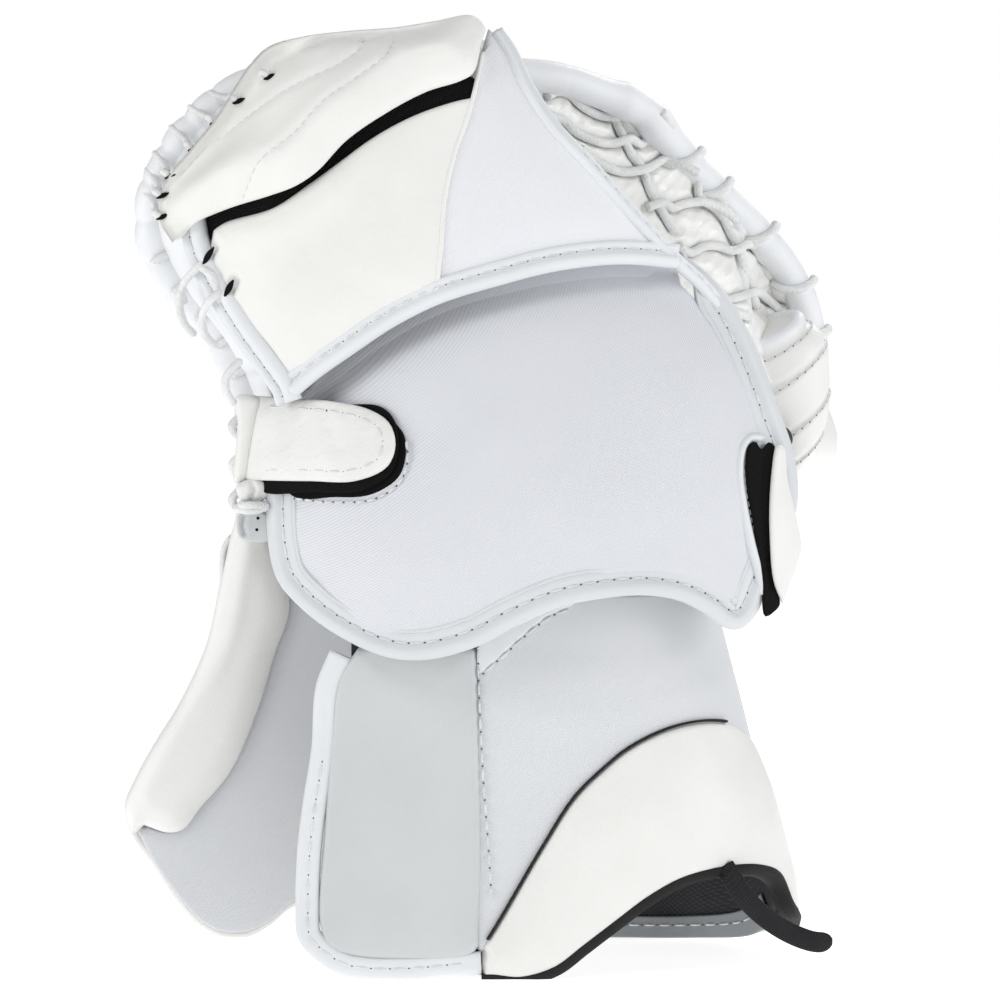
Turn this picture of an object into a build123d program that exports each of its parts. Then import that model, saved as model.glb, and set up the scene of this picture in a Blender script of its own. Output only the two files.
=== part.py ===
from build123d import *
import math
import os

os.makedirs("parts", exist_ok=True)

# A hockey goalie's catch glove for the left hand, standing on its cuff with the fingers up.
# +X is the thumb and pocket side, +Y the catching side, +Z the fingers; sizes are millimetres.
# The origin is the middle of the forearm opening, in the plane that the cuff stands on.

# Palm plate: a flat padded plate that leans toward the back of the hand as it rises.
palm_lean = 8.0
palm_face_y = 44.0
palm_foot_z = 170.0
palm_skin = 7.7
palm_core = 8.0
palm_edge = [(-138, 187), (-135, 240), (-141, 260), (-160, 288), (-179, 316), (-178, 340),
             (-158, 366), (-126, 390), (-60, 402), (-38, 402), (84, 187)]

# Curved panels over the back of the hand: (height, front) pairs on one plan radius.
back_mid = -45.0
back_radius = 230.0
back_half = 118.0
back_rise = [(244, -74), (300, -76), (350, -71), (412, -45)]
flap_mid = -12.0
flap_radius = 159.4
flap_half = 128.0
flap_rise = [(130, -88), (190, -92), (250, -84), (285, -71), (322, -52)]
skin = 3.0

# Gap left between sewn pieces that lie against each other.
clearance = 0.3

# Cuff: a C in plan, open toward the little finger, whose round end drifts left as it rises.
cuff_radius = 59.0
cuff_centre_y = -7.0
cuff_foot_x = 52.0
cuff_top_x = 8.0
cuff_height = 165.0
cuff_wall = 5.7
near_y = cuff_centre_y - cuff_radius
far_y = cuff_centre_y + cuff_radius

# Pocket: the T is one arc from the fingertips to the thumb tip, folded at the spine.
t_start = Vector(-23, 2, 392)
t_middle = Vector(93, 85, 325.5)
t_end = Vector(121, 146, 232)
t_radius = 9.0
t_gap = 0.05
heel = Vector(96, 34, 187)
spine_radius = 3.5
web_thickness = 4.0
lace_radius = 1.7

# Finger and thumb stalls, worn inside.
stall_radius = 13.0
stall_wall = 1.5
stall_pitch = 28.0
first_stall = Vector(-98, -27, 275)
stall_run = Vector(-30, 6, 81)


def plan_band(z, mid, half, front, radius, outer, inner):
    """One level of a curved panel: the strip between an arc and the same arc moved inward."""
    edge = front + radius - math.sqrt(radius**2 - half**2)
    with BuildSketch(Plane.XY.offset(z)) as level:
        with BuildLine():
            ThreePointArc((mid - half, edge + outer), (mid, front + outer), (mid + half, edge + outer))
            Line((mid + half, edge + outer), (mid + half, edge + inner))
            ThreePointArc((mid + half, edge + inner), (mid, front + inner), (mid - half, edge + inner))
            Line((mid - half, edge + inner), (mid - half, edge + outer))
        make_face()
    return level.sketch


def back_shell(outer, inner):
    """The back of the hand as a shell, from outer to inner, measured inward from its surface."""
    return [plan_band(z, back_mid, back_half, y, back_radius, outer, inner) for z, y in back_rise]


def flap_shell(outer, inner):
    """The wrist flap as a shell, from outer to inner, measured inward from its surface."""
    return [plan_band(z, flap_mid, flap_half, y, flap_radius, outer, inner) for z, y in flap_rise]


def outline(points, smooth=False, grow=0.0):
    """A closed outline seen from the back of the hand, with X across and Z up."""
    with BuildSketch(Plane.XZ) as shape:
        with BuildLine():
            if smooth:
                Spline(*points, periodic=True)
            else:
                Polyline(*points, close=True)
        make_face()
        if grow:
            offset(amount=grow, kind=Kind.INTERSECTION)
    return shape.sketch


def slab(points, near, far, smooth=False):
    """A flat piece with the given outline, between two depths."""
    plane_shift = Plane.XZ.offset(-near)
    with BuildSketch(plane_shift) as shape:
        with BuildLine():
            if smooth:
                Spline(*points, periodic=True)
            else:
                Polyline(*points, close=True)
        make_face()
    extrude(to_extrude=shape.sketch, amount=-(far - near))


def keep(shape):
    """Trim the part being built to an outline."""
    extrude(to_extrude=shape, amount=400, both=True, mode=Mode.INTERSECT)


def drop(shape):
    """Cut an outline out of the part being built."""
    extrude(to_extrude=shape, amount=400, both=True, mode=Mode.SUBTRACT)


def cuff_half(z, outer, inner, end_x, side):
    """One level of half the cuff wall: a straight run from end_x and a quarter turn.

    side is -1 for the half under the back of the hand and 1 for the half under the palm.
    """
    cx = cuff_foot_x + (cuff_top_x - cuff_foot_x) * z / cuff_height
    cy = cuff_centre_y
    big = cuff_radius - outer
    small = cuff_radius - inner
    turn = math.sqrt(0.5)
    inner_middle = (cx + turn * small, cy + side * turn * small)
    with BuildSketch(Plane.XY.offset(z)) as level:
        with BuildLine():
            Line((end_x, cy + side * big), (cx, cy + side * big))
            ThreePointArc((cx, cy + side * big), (cx + turn * big, cy + side * turn * big), (cx + big, cy))
            Line((cx + big, cy), (cx + small, cy))
            ThreePointArc((cx + small, cy), inner_middle, (cx, cy + side * small))
            Line((cx, cy + side * small), (end_x, cy + side * small))
            Line((end_x, cy + side * small), (end_x, cy + side * big))
        make_face()
    return level.sketch


def rod(start, end, radius):
    """A straight round run, such as a stretch of lace."""
    run = Vector(*end) - Vector(*start)
    with BuildSketch(Plane(origin=start, z_dir=run)) as section:
        Circle(radius)
    extrude(to_extrude=section.sketch, amount=run.length)


def rolled(path, radius):
    """A round roll of leather along a path."""
    with BuildSketch(Plane(origin=path @ 0, z_dir=path % 0)) as section:
        Circle(radius)
    sweep(sections=section.sketch, path=path)


def lace_ring(centre, along, start_from, turn, radius):
    """A lace lying round part of a roll: it starts on the start_from side and turns about along."""
    with Locations(Plane(origin=centre, x_dir=start_from, z_dir=along)):
        Torus(radius, lace_radius, major_angle=turn, align=(Align.NONE, Align.NONE, Align.NONE))


# ---------------------------------------------------------------- palm

lean = math.radians(palm_lean)
palm_plane = Plane(
    origin=(0, palm_face_y, palm_foot_z), x_dir=(1, 0, 0), z_dir=(0, -math.cos(lean), -math.sin(lean))
)
palm_points = [(x, (z - palm_foot_z) / math.cos(lean)) for x, z in palm_edge]

with BuildPart() as palm_face_pad:
    with BuildSketch(palm_plane):
        with BuildLine():
            Polyline(*palm_points, close=True)
        make_face()
    extrude(amount=palm_skin)

with BuildPart() as palm_foam_core:
    with BuildSketch(palm_plane.offset(palm_skin + clearance)):
        with BuildLine():
            Polyline(*palm_points, close=True)
        make_face()
        offset(amount=-5, kind=Kind.INTERSECTION)
    extrude(amount=palm_core)

with BuildPart() as palm_heel_roll:
    rod((-132, 33, 176), (80, 33, 176), 7.5)

with BuildPart() as heel_leather:
    slab([(-116, 166.5), (60, 166.5), (84, 176), (88, 200), (-122, 200)], 42.4, 49.3)

# The roll runs up the little-finger side and over the fingertips.
roll_radius = 8.0
roll_route = [(-136.5, 10, 186), (-133.5, 5, 222), (-135, 2, 246), (-149, -2, 277), (-167, -5, 299),
              (-178, -8, 320), (-176, -10, 341), (-159, -13, 364), (-130, -15, 386), (-78, -16, 395),
              (-30, -16, 396)]
with BuildPart() as finger_perimeter_roll:
    with BuildLine() as roll_line:
        FilletPolyline(*roll_route, radius=14)
    rolled(roll_line.wire(), roll_radius)

# Laces hold the roll to the palm: short half rings spaced evenly along it.
ring_count = 13
with BuildPart() as perimeter_lacing:
    for i in range(ring_count):
        at = (i + 0.5) / ring_count
        tangent = roll_line.wire() % at
        lace_ring(roll_line.wire() @ at, tangent, (0, -1, 0), 110, roll_radius + lace_radius + clearance)

# ---------------------------------------------------------------- back of the hand

leather_points = [(-32, 402), (-62, 401), (-100, 392), (-128, 370), (-150, 340), (-152, 315),
                  (-141, 292), (-123, 268), (-113, 253), (-90, 272), (-53, 294), (-50, 330),
                  (-46, 352), (-38, 372)]
nylon_points = [(-31.7, 402), (-24, 401), (-11, 374), (12, 350), (28, 331), (49, 308), (25, 310),
                (-2, 307), (-27, 301), (-52.7, 294), (-49.7, 330), (-45.7, 352), (-37.7, 372)]
lower_line = [(-113, 253), (-90, 272), (-53, 294), (-27, 301), (-2, 307), (25, 310), (49, 308)]

with BuildPart() as back_hand_leather:
    loft(back_shell(0, skin))
    keep(outline(leather_points))

with BuildPart() as back_hand_nylon:
    loft(back_shell(0, skin))
    keep(outline(nylon_points))

binding_width = 4.0
with BuildPart() as back_hand_binding:
    loft(back_shell(-1.2, skin + 0.4))
    keep(outline(lower_line + [(x, z - binding_width) for x, z in reversed(lower_line)]))
    drop(outline(lower_line + [(60, 420), (-160, 420)], grow=0.15))

foam_points = [(-42, 394), (-66, 392), (-98, 384), (-122, 364), (-142, 338), (-142, 318), (-128, 300),
               (-90, 302), (-53, 322), (-27, 328), (-2, 334), (14, 337), (-14, 366)]
with BuildPart() as back_hand_foam:
    loft(back_shell(skin + clearance, 9.5))
    keep(outline(foam_points))

with BuildPart() as hand_lining:
    loft(back_shell(9.8, 11.5))
    keep(outline(foam_points))

with BuildPart() as finger_stalls:
    for i in range(4):
        foot = first_stall + Vector(stall_pitch * i, 0, 0)
        rod(foot, foot + stall_run, stall_radius)
    for i in range(4):
        mouth = first_stall + Vector(stall_pitch * i, 0, 0) - stall_run * 0.05
        with BuildSketch(Plane(origin=mouth, z_dir=stall_run)) as bore:
            Circle(stall_radius - stall_wall)
        extrude(to_extrude=bore.sketch, amount=stall_run.length * 0.95, mode=Mode.SUBTRACT)

# The side of the hand, between the back panel and the roll.
with BuildPart() as side_gusset:
    slab([(-133, 190), (-129, 190), (-127, 246), (-138, 266), (-150, 283), (-154, 280),
          (-142, 264), (-131, 247)], -29, -16)

with BuildPart() as side_lacing:
    for i in range(5):
        low = 194 + 9 * i
        rod((-135.2, -26, low), (-135.2, -12, low + 8), lace_radius)

with BuildPart() as strap_anchor_loop:
    with Locations(Plane(origin=(-133, -45, 203), x_dir=(1, 0, 0), z_dir=(0, 0, 1))):
        Torus(5.0, 1.6)

# ---------------------------------------------------------------- cuff

cuff_levels = [0, cuff_height]
wrist_line = [(-34, 12), (-26, 25), (-8, 56), (6, 78), (18, 90), (29, 99), (43, 106), (56, 109), (69, 108),
              (81, 102), (90, 94), (130, 60)]
arch_line = [(130, 20), (104, 20), (98, 34), (87, 43), (71, 44), (53, 41), (39, 33), (23, 21), (10, 11),
             (-2, 3), (-17, 0), (-34, 0)]
nylon_foot = [(x, z + 0.4) for x, z in wrist_line]

with BuildPart() as cuff_nylon_wrap:
    loft([cuff_half(z, 0, cuff_wall, -33, -1) for z in cuff_levels], ruled=True)
    keep(outline(nylon_foot + [(130, 170), (30, 168), (6, 160), (-25, 143), (-34, 138)]))

with BuildPart() as cuff_wrist_leather:
    loft([cuff_half(z, 0, cuff_wall, -33, -1) for z in cuff_levels], ruled=True)
    keep(outline(wrist_line + arch_line))

with BuildPart() as cuff_edge_trim:
    loft([cuff_half(z, 0.4, 5.2, -16, -1) for z in cuff_levels], ruled=True)
    keep(outline([(x, z - 0.3) for x, z in arch_line[1:-1]]
                 + [(x, z - 3.2) for x, z in reversed(arch_line[2:-2])] + [(101, 17)]))

with BuildPart() as cuff_palm_wrap:
    loft([cuff_half(z, 0, cuff_wall, 4, 1) for z in cuff_levels], ruled=True)
    with Locations((60, cuff_centre_y, 80)):
        Box(200, 0.6, 200, mode=Mode.SUBTRACT)

flat_edge = [(-93, 141), (-101, 126), (-104, 99), (-108, 57), (-110, 31), (-109, 17), (-102, 8),
             (-92, 2), (-83, 0), (-36, 0), (-36, 139), (-60, 141)]
flat_pad_edge = [(-87, 138), (-95, 124), (-98, 99), (-102, 57), (-104, 31), (-103, 20), (-98, 13),
                 (-90, 7.5), (-82, 6), (-37, 6), (-37, 137), (-60, 138)]
with BuildPart() as cuff_flat_pad:
    slab(flat_pad_edge, near_y - 3.5, near_y + cuff_wall)

with BuildPart() as cuff_flat_binding:
    slab(flat_edge, near_y - 0.5, near_y + 4.5)
    drop(outline(flat_pad_edge, grow=clearance))

with BuildPart() as cuff_stiffener:
    loft([cuff_half(z, 6.0, 8.0, -88, -1) for z in cuff_levels], ruled=True)
    keep(outline([(-88, 10), (-40, 8), (-30, 22), (-10, 52), (10, 76), (30, 92), (52, 101), (130, 96),
                  (130, 160), (6, 155), (-25, 138), (-86, 134)]))

with BuildPart() as cuff_lining:
    loft([cuff_half(z, 8.3, 10.8, -90, -1) for z in cuff_levels], ruled=True)
    drop(outline([(130, -5), (130, 22), (102, 22), (96, 36), (86, 46), (71, 47), (53, 44), (39, 36), (23, 24),
                  (10, 14), (-2, 6), (-17, 3), (-30, -5)]))
    with Locations((0, 0, 155), (0, 0, -7)):
        Box(400, 400, 10, align=(Align.CENTER, Align.CENTER, Align.MIN), mode=Mode.SUBTRACT)

with BuildPart() as cuff_palm_lining:
    loft([cuff_half(z, 6.3, 8.8, -128, 1) for z in cuff_levels], ruled=True)
    with Locations((60, cuff_centre_y, 80)):
        Box(200, 0.6, 200, mode=Mode.SUBTRACT)
    with Locations((-130, 60, 0)):
        Box(60, 60, 400, align=(Align.MAX, Align.CENTER, Align.CENTER), mode=Mode.SUBTRACT)

wing_points = [(-149, 181), (-160, 133), (-173, 105), (-183, 90), (-195, 66), (-197, 56), (-185, 35),
               (-172, 15), (-158, 0), (-136, 0), (-120, 15), (-60, 18), (-20, 8), (0, 0), (57, 0),
               (84, 8), (84, 60), (62, 120), (50, 184), (-146, 184)]
with BuildPart() as cuff_front_plate:
    slab(wing_points, far_y + 0.4, far_y + 8)

with BuildPart() as cuff_front_leather:
    slab([(-146, 181), (-157, 133), (-170, 105), (-180, 90), (-192, 66), (-194, 56), (-182, 35),
          (-169, 17), (-157, 3), (-137, 3), (-121, 18), (-60, 21), (-20, 11), (0, 3), (57, 3),
          (81, 11), (81, 60), (59, 120), (48, 182)], far_y + 8.3, far_y + 11)

with BuildPart() as wing_nylon:
    slab([(-125, 178), (-117, 152), (-124, 129), (-131, 107), (-144, 77), (-159, 59), (-168, 46),
          (-183, 38), (-170, 18), (-157, 4), (-137, 4), (-121, 18), (-60, 21), (-60, 178)],
         far_y - 2.4, far_y + 0.1)

with BuildPart() as wing_edge_strip:
    slab([(-148, 181), (-159, 133), (-172, 105), (-182, 90), (-193, 66), (-195, 56), (-184, 40),
          (-170, 49), (-161, 61), (-146, 79), (-133, 109), (-126, 130), (-119, 152), (-127, 178)],
         far_y - 6, far_y - 2.7)

# ---------------------------------------------------------------- pocket and thumb

t_curve = ThreePointArc(t_start, t_middle, t_end)
fold = 0.5
spine_top = t_curve @ fold
palm_side = Plane(origin=heel, x_dir=t_start - heel, z_dir=(spine_top - heel).cross(t_start - heel))
thumb_plane = Plane(origin=heel, x_dir=t_end - heel, z_dir=(t_end - heel).cross(spine_top - heel))
spine_run = spine_top - heel


def local(plane, point):
    """A point's place in a plane, as (x, y)."""
    spot = plane.to_local_coords(point)
    return (spot.X, spot.Y)


with BuildPart() as pocket_spine:
    rod(heel + spine_run * 0.03, heel + spine_run * 0.92, spine_radius)

with BuildPart() as t_roll_finger_side:
    finger_arc = ThreePointArc(t_curve @ 0.05, t_curve @ 0.25, t_curve @ (fold - t_gap))
    rolled(finger_arc, t_radius)

with BuildPart() as web_finger_side:
    with BuildSketch(palm_side.offset(-web_thickness / 2)):
        with BuildLine():
            Polyline(local(palm_side, t_start + (heel - t_start) * 0.07),
                     local(palm_side, spine_top - spine_run * 0.08), (0, 0), close=True)
        make_face()
        offset(amount=-4.6, kind=Kind.INTERSECTION)
    extrude(amount=web_thickness)

# Web laces lie on both faces' outer side, from the palm's edge to the T.
with BuildPart() as web_lacing_finger:
    lift = palm_side.z_dir * (web_thickness / 2 + lace_radius + clearance)
    for i in range(5):
        at = 0.16 + 0.15 * i
        edge_point = t_start + (heel - t_start) * (0.1 + 0.17 * i)
        t_point = t_start + (spine_top - t_start) * at
        inward = (t_point - edge_point).normalized()
        rod(edge_point + inward * 8 + lift, t_point - inward * 14 + lift, lace_radius)

with BuildPart() as t_roll_thumb_side:
    thumb_arc = ThreePointArc(t_curve @ (fold + t_gap), t_curve @ 0.75, t_curve @ 0.97)
    rolled(thumb_arc, t_radius)

with BuildPart() as web_thumb_side:
    with BuildSketch(thumb_plane.offset(-web_thickness / 2)):
        with BuildLine():
            Polyline((56, 76), (80, 108), (108, 16), (80, 40), close=True)
        make_face()
    extrude(amount=web_thickness)

with BuildPart() as web_lacing_thumb:
    lift = thumb_plane.z_dir * (web_thickness / 2 + lace_radius + clearance)
    for i in range(3):
        low = thumb_plane.from_local_coords(Vector(70 + 10 * i, 74 - 15 * i, 0))
        high = thumb_plane.from_local_coords(Vector(78 + 10 * i, 80 - 15 * i, 0))
        rod(low + lift, high + lift, lace_radius)

# The thumb is a stack on the pocket's far side: face pad, stiffener, stall and back cover.
with BuildPart() as thumb_face_pad:
    with BuildSketch(thumb_plane.offset(-16)):
        with BuildLine():
            Polyline((34, 0), (60, -6), (118, -18), (128, -8), (124, 12), (76, 66), (68, 62), close=True)
        make_face()
    extrude(amount=8)

with BuildPart() as thumb_stiffener:
    with BuildSketch(thumb_plane.offset(-7.7)):
        with BuildLine():
            Polyline((34, 4), (60, -2), (112, -12), (118, 8), (76, 58), close=True)
        make_face()
    extrude(amount=1.5)

thumb_stall_radius = 10.0
thumb_stall_mouth = thumb_plane.from_local_coords(Vector(38, 24, 4.2))
thumb_stall_run = thumb_plane.from_local_coords(Vector(104, 5, 4.2)) - thumb_stall_mouth
with BuildPart() as thumb_stall:
    rod(thumb_stall_mouth, thumb_stall_mouth + thumb_stall_run, thumb_stall_radius)
    with BuildSketch(Plane(origin=thumb_stall_mouth - thumb_stall_run * 0.03, z_dir=thumb_stall_run)) as bore:
        Circle(thumb_stall_radius - stall_wall)
    extrude(to_extrude=bore.sketch, amount=thumb_stall_run.length * 0.97, mode=Mode.SUBTRACT)

with BuildPart() as thumb_back_cover:
    with BuildSketch(thumb_plane.offset(14.5)):
        with BuildLine():
            Polyline((28, 12), (60, 2), (112, -12), (122, -4), (120, 10), (78, 54), (54, 58), close=True)
        make_face()
    extrude(amount=3.5)

with BuildPart() as thumb_lacing:
    for at in (0.58, 0.68, 0.78, 0.88):
        lace_ring(t_curve @ at, t_curve % at, thumb_plane.z_dir, 170, t_radius + lace_radius + clearance)

with BuildPart() as t_lacing:
    for at in (0.1, 0.2, 0.3, 0.4):
        lace_ring(t_curve @ at, t_curve % at, palm_side.z_dir, 170, t_radius + lace_radius + clearance)

with BuildPart() as thumb_gusset:
    with BuildSketch(Plane.YZ.offset(86)):
        with BuildLine():
            Polyline((-34, 190), (18, 190), (22, 240), (10, 262), (-20, 240), close=True)
        make_face()
    extrude(amount=4)

# ---------------------------------------------------------------- wrist flap and straps

flap_points = [(49, 312), (60, 300), (84, 272), (94, 240), (99.5, 222), (100, 202), (92, 182), (84, 164),
               (74, 152), (62, 158), (35, 167), (0, 163), (-36, 146), (-57, 140), (-74, 141), (-95, 149),
               (-111, 160), (-122, 172), (-125, 190), (-126, 244), (-116, 256), (-90, 278), (-53, 299),
               (-27, 306), (-2, 312), (25, 315)]
ring_width = 10.5
with BuildPart() as wrist_flap_pad:
    loft(flap_shell(0, 4.6))
    keep(outline(flap_points, grow=-ring_width))

with BuildPart() as wrist_flap_binding:
    loft(flap_shell(1.2, 6.0))
    keep(outline(flap_points))
    drop(outline(flap_points, grow=-ring_width + clearance))

with BuildPart() as wrist_flap_foam:
    loft(flap_shell(4.9, 9.0))
    keep(outline(flap_points, grow=-ring_width - 1.5))

with BuildPart() as loop_patch_left:
    loft(flap_shell(-1.6, -0.2))
    keep(outline([(-118, 210), (-80, 210), (-72, 218), (-72, 236), (-80, 243), (-118, 244)]))

with BuildPart() as loop_patch_right:
    loft(flap_shell(-1.6, -0.2))
    keep(outline([(80, 168), (92, 190), (92, 226), (80, 224)]))

with BuildPart() as left_strap_hook:
    loft(flap_shell(-3.6, -1.9))
    keep(outline([(-130, 212), (-84, 212), (-74, 220), (-72, 229), (-76, 240), (-84, 246), (-130, 246)]))

with BuildPart() as left_strap_leather:
    loft(flap_shell(-6.4, -3.9))
    keep(outline([(-136, 214), (-85, 213), (-73, 220), (-69, 229), (-71, 239), (-79, 244), (-95, 247),
                  (-136, 249)]))

with BuildPart() as right_strap_hook:
    loft(flap_shell(-3.6, -1.9))
    keep(outline([(83, 156), (102, 156), (102, 226), (83, 226)]))

with BuildPart() as right_strap_leather:
    loft(flap_shell(-6.4, -3.9))
    keep(outline([(84, 158), (103, 158), (103, 224), (84, 224)]))

# ---------------------------------------------------------------- finger cover

cover_points = [(-32, 403), (-38, 408), (-70, 404), (-118, 398), (-131, 388), (-146, 366), (-156, 355),
                (-168, 335), (-163, 320), (-154, 324), (-136, 331), (-111, 339), (-100, 346), (-90, 358),
                (-74, 369), (-57, 378), (-41, 383)]
cover_gap = 2.6
with BuildPart() as finger_cover_leather:
    loft(back_shell(-cover_gap - 8.5, -cover_gap - 1.6))
    keep(outline(cover_points))

with BuildPart() as finger_cover_lining:
    loft(back_shell(-cover_gap - 1.3, -cover_gap))
    keep(outline(cover_points, grow=-2))

# ---------------------------------------------------------------- pull tab

tab_width = 9.5
tab_root = Vector(76, -63, 42)
tab_plane = Plane(origin=tab_root, x_dir=(38, 12.7, -26), z_dir=(-12.7, 38, 0))
with BuildPart() as pull_tab:
    with BuildSketch(tab_plane):
        with Locations((23, 0)):
            RectangleRounded(50, tab_width, 3)
    extrude(amount=-1.6)

# ---------------------------------------------------------------- labels and files

palm_face_pad.part.label = "palm_face_pad"
export_step(palm_face_pad.part, "parts/palm_face_pad.step")
palm_foam_core.part.label = "palm_foam_core"
export_step(palm_foam_core.part, "parts/palm_foam_core.step")
palm_heel_roll.part.label = "palm_heel_roll"
export_step(palm_heel_roll.part, "parts/palm_heel_roll.step")
heel_leather.part.label = "heel_leather"
export_step(heel_leather.part, "parts/heel_leather.step")
finger_perimeter_roll.part.label = "finger_perimeter_roll"
export_step(finger_perimeter_roll.part, "parts/finger_perimeter_roll.step")
perimeter_lacing.part.label = "perimeter_lacing"
export_step(perimeter_lacing.part, "parts/perimeter_lacing.step")
back_hand_leather.part.label = "back_hand_leather"
export_step(back_hand_leather.part, "parts/back_hand_leather.step")
back_hand_nylon.part.label = "back_hand_nylon"
export_step(back_hand_nylon.part, "parts/back_hand_nylon.step")
back_hand_binding.part.label = "back_hand_binding"
export_step(back_hand_binding.part, "parts/back_hand_binding.step")
back_hand_foam.part.label = "back_hand_foam"
export_step(back_hand_foam.part, "parts/back_hand_foam.step")
hand_lining.part.label = "hand_lining"
export_step(hand_lining.part, "parts/hand_lining.step")
finger_stalls.part.label = "finger_stalls"
export_step(finger_stalls.part, "parts/finger_stalls.step")
side_gusset.part.label = "side_gusset"
export_step(side_gusset.part, "parts/side_gusset.step")
side_lacing.part.label = "side_lacing"
export_step(side_lacing.part, "parts/side_lacing.step")
strap_anchor_loop.part.label = "strap_anchor_loop"
export_step(strap_anchor_loop.part, "parts/strap_anchor_loop.step")
cuff_nylon_wrap.part.label = "cuff_nylon_wrap"
export_step(cuff_nylon_wrap.part, "parts/cuff_nylon_wrap.step")
cuff_wrist_leather.part.label = "cuff_wrist_leather"
export_step(cuff_wrist_leather.part, "parts/cuff_wrist_leather.step")
cuff_edge_trim.part.label = "cuff_edge_trim"
export_step(cuff_edge_trim.part, "parts/cuff_edge_trim.step")
cuff_palm_wrap.part.label = "cuff_palm_wrap"
export_step(cuff_palm_wrap.part, "parts/cuff_palm_wrap.step")
cuff_flat_pad.part.label = "cuff_flat_pad"
export_step(cuff_flat_pad.part, "parts/cuff_flat_pad.step")
cuff_flat_binding.part.label = "cuff_flat_binding"
export_step(cuff_flat_binding.part, "parts/cuff_flat_binding.step")
cuff_stiffener.part.label = "cuff_stiffener"
export_step(cuff_stiffener.part, "parts/cuff_stiffener.step")
cuff_lining.part.label = "cuff_lining"
export_step(cuff_lining.part, "parts/cuff_lining.step")
cuff_palm_lining.part.label = "cuff_palm_lining"
export_step(cuff_palm_lining.part, "parts/cuff_palm_lining.step")
cuff_front_plate.part.label = "cuff_front_plate"
export_step(cuff_front_plate.part, "parts/cuff_front_plate.step")
cuff_front_leather.part.label = "cuff_front_leather"
export_step(cuff_front_leather.part, "parts/cuff_front_leather.step")
wing_nylon.part.label = "wing_nylon"
export_step(wing_nylon.part, "parts/wing_nylon.step")
wing_edge_strip.part.label = "wing_edge_strip"
export_step(wing_edge_strip.part, "parts/wing_edge_strip.step")
pocket_spine.part.label = "pocket_spine"
export_step(pocket_spine.part, "parts/pocket_spine.step")
t_roll_finger_side.part.label = "t_roll_finger_side"
export_step(t_roll_finger_side.part, "parts/t_roll_finger_side.step")
web_finger_side.part.label = "web_finger_side"
export_step(web_finger_side.part, "parts/web_finger_side.step")
web_lacing_finger.part.label = "web_lacing_finger"
export_step(web_lacing_finger.part, "parts/web_lacing_finger.step")
t_roll_thumb_side.part.label = "t_roll_thumb_side"
export_step(t_roll_thumb_side.part, "parts/t_roll_thumb_side.step")
web_thumb_side.part.label = "web_thumb_side"
export_step(web_thumb_side.part, "parts/web_thumb_side.step")
web_lacing_thumb.part.label = "web_lacing_thumb"
export_step(web_lacing_thumb.part, "parts/web_lacing_thumb.step")
thumb_face_pad.part.label = "thumb_face_pad"
export_step(thumb_face_pad.part, "parts/thumb_face_pad.step")
thumb_stiffener.part.label = "thumb_stiffener"
export_step(thumb_stiffener.part, "parts/thumb_stiffener.step")
thumb_stall.part.label = "thumb_stall"
export_step(thumb_stall.part, "parts/thumb_stall.step")
thumb_back_cover.part.label = "thumb_back_cover"
export_step(thumb_back_cover.part, "parts/thumb_back_cover.step")
thumb_lacing.part.label = "thumb_lacing"
export_step(thumb_lacing.part, "parts/thumb_lacing.step")
t_lacing.part.label = "t_lacing"
export_step(t_lacing.part, "parts/t_lacing.step")
thumb_gusset.part.label = "thumb_gusset"
export_step(thumb_gusset.part, "parts/thumb_gusset.step")
wrist_flap_pad.part.label = "wrist_flap_pad"
export_step(wrist_flap_pad.part, "parts/wrist_flap_pad.step")
wrist_flap_binding.part.label = "wrist_flap_binding"
export_step(wrist_flap_binding.part, "parts/wrist_flap_binding.step")
wrist_flap_foam.part.label = "wrist_flap_foam"
export_step(wrist_flap_foam.part, "parts/wrist_flap_foam.step")
loop_patch_left.part.label = "loop_patch_left"
export_step(loop_patch_left.part, "parts/loop_patch_left.step")
loop_patch_right.part.label = "loop_patch_right"
export_step(loop_patch_right.part, "parts/loop_patch_right.step")
left_strap_hook.part.label = "left_strap_hook"
export_step(left_strap_hook.part, "parts/left_strap_hook.step")
left_strap_leather.part.label = "left_strap_leather"
export_step(left_strap_leather.part, "parts/left_strap_leather.step")
right_strap_hook.part.label = "right_strap_hook"
export_step(right_strap_hook.part, "parts/right_strap_hook.step")
right_strap_leather.part.label = "right_strap_leather"
export_step(right_strap_leather.part, "parts/right_strap_leather.step")
finger_cover_leather.part.label = "finger_cover_leather"
export_step(finger_cover_leather.part, "parts/finger_cover_leather.step")
finger_cover_lining.part.label = "finger_cover_lining"
export_step(finger_cover_lining.part, "parts/finger_cover_lining.step")
pull_tab.part.label = "pull_tab"
export_step(pull_tab.part, "parts/pull_tab.step")
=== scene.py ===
import math

import bmesh
import bpy
import numpy as np
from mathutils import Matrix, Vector
from mathutils.geometry import delaunay_2d_cdt


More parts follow.
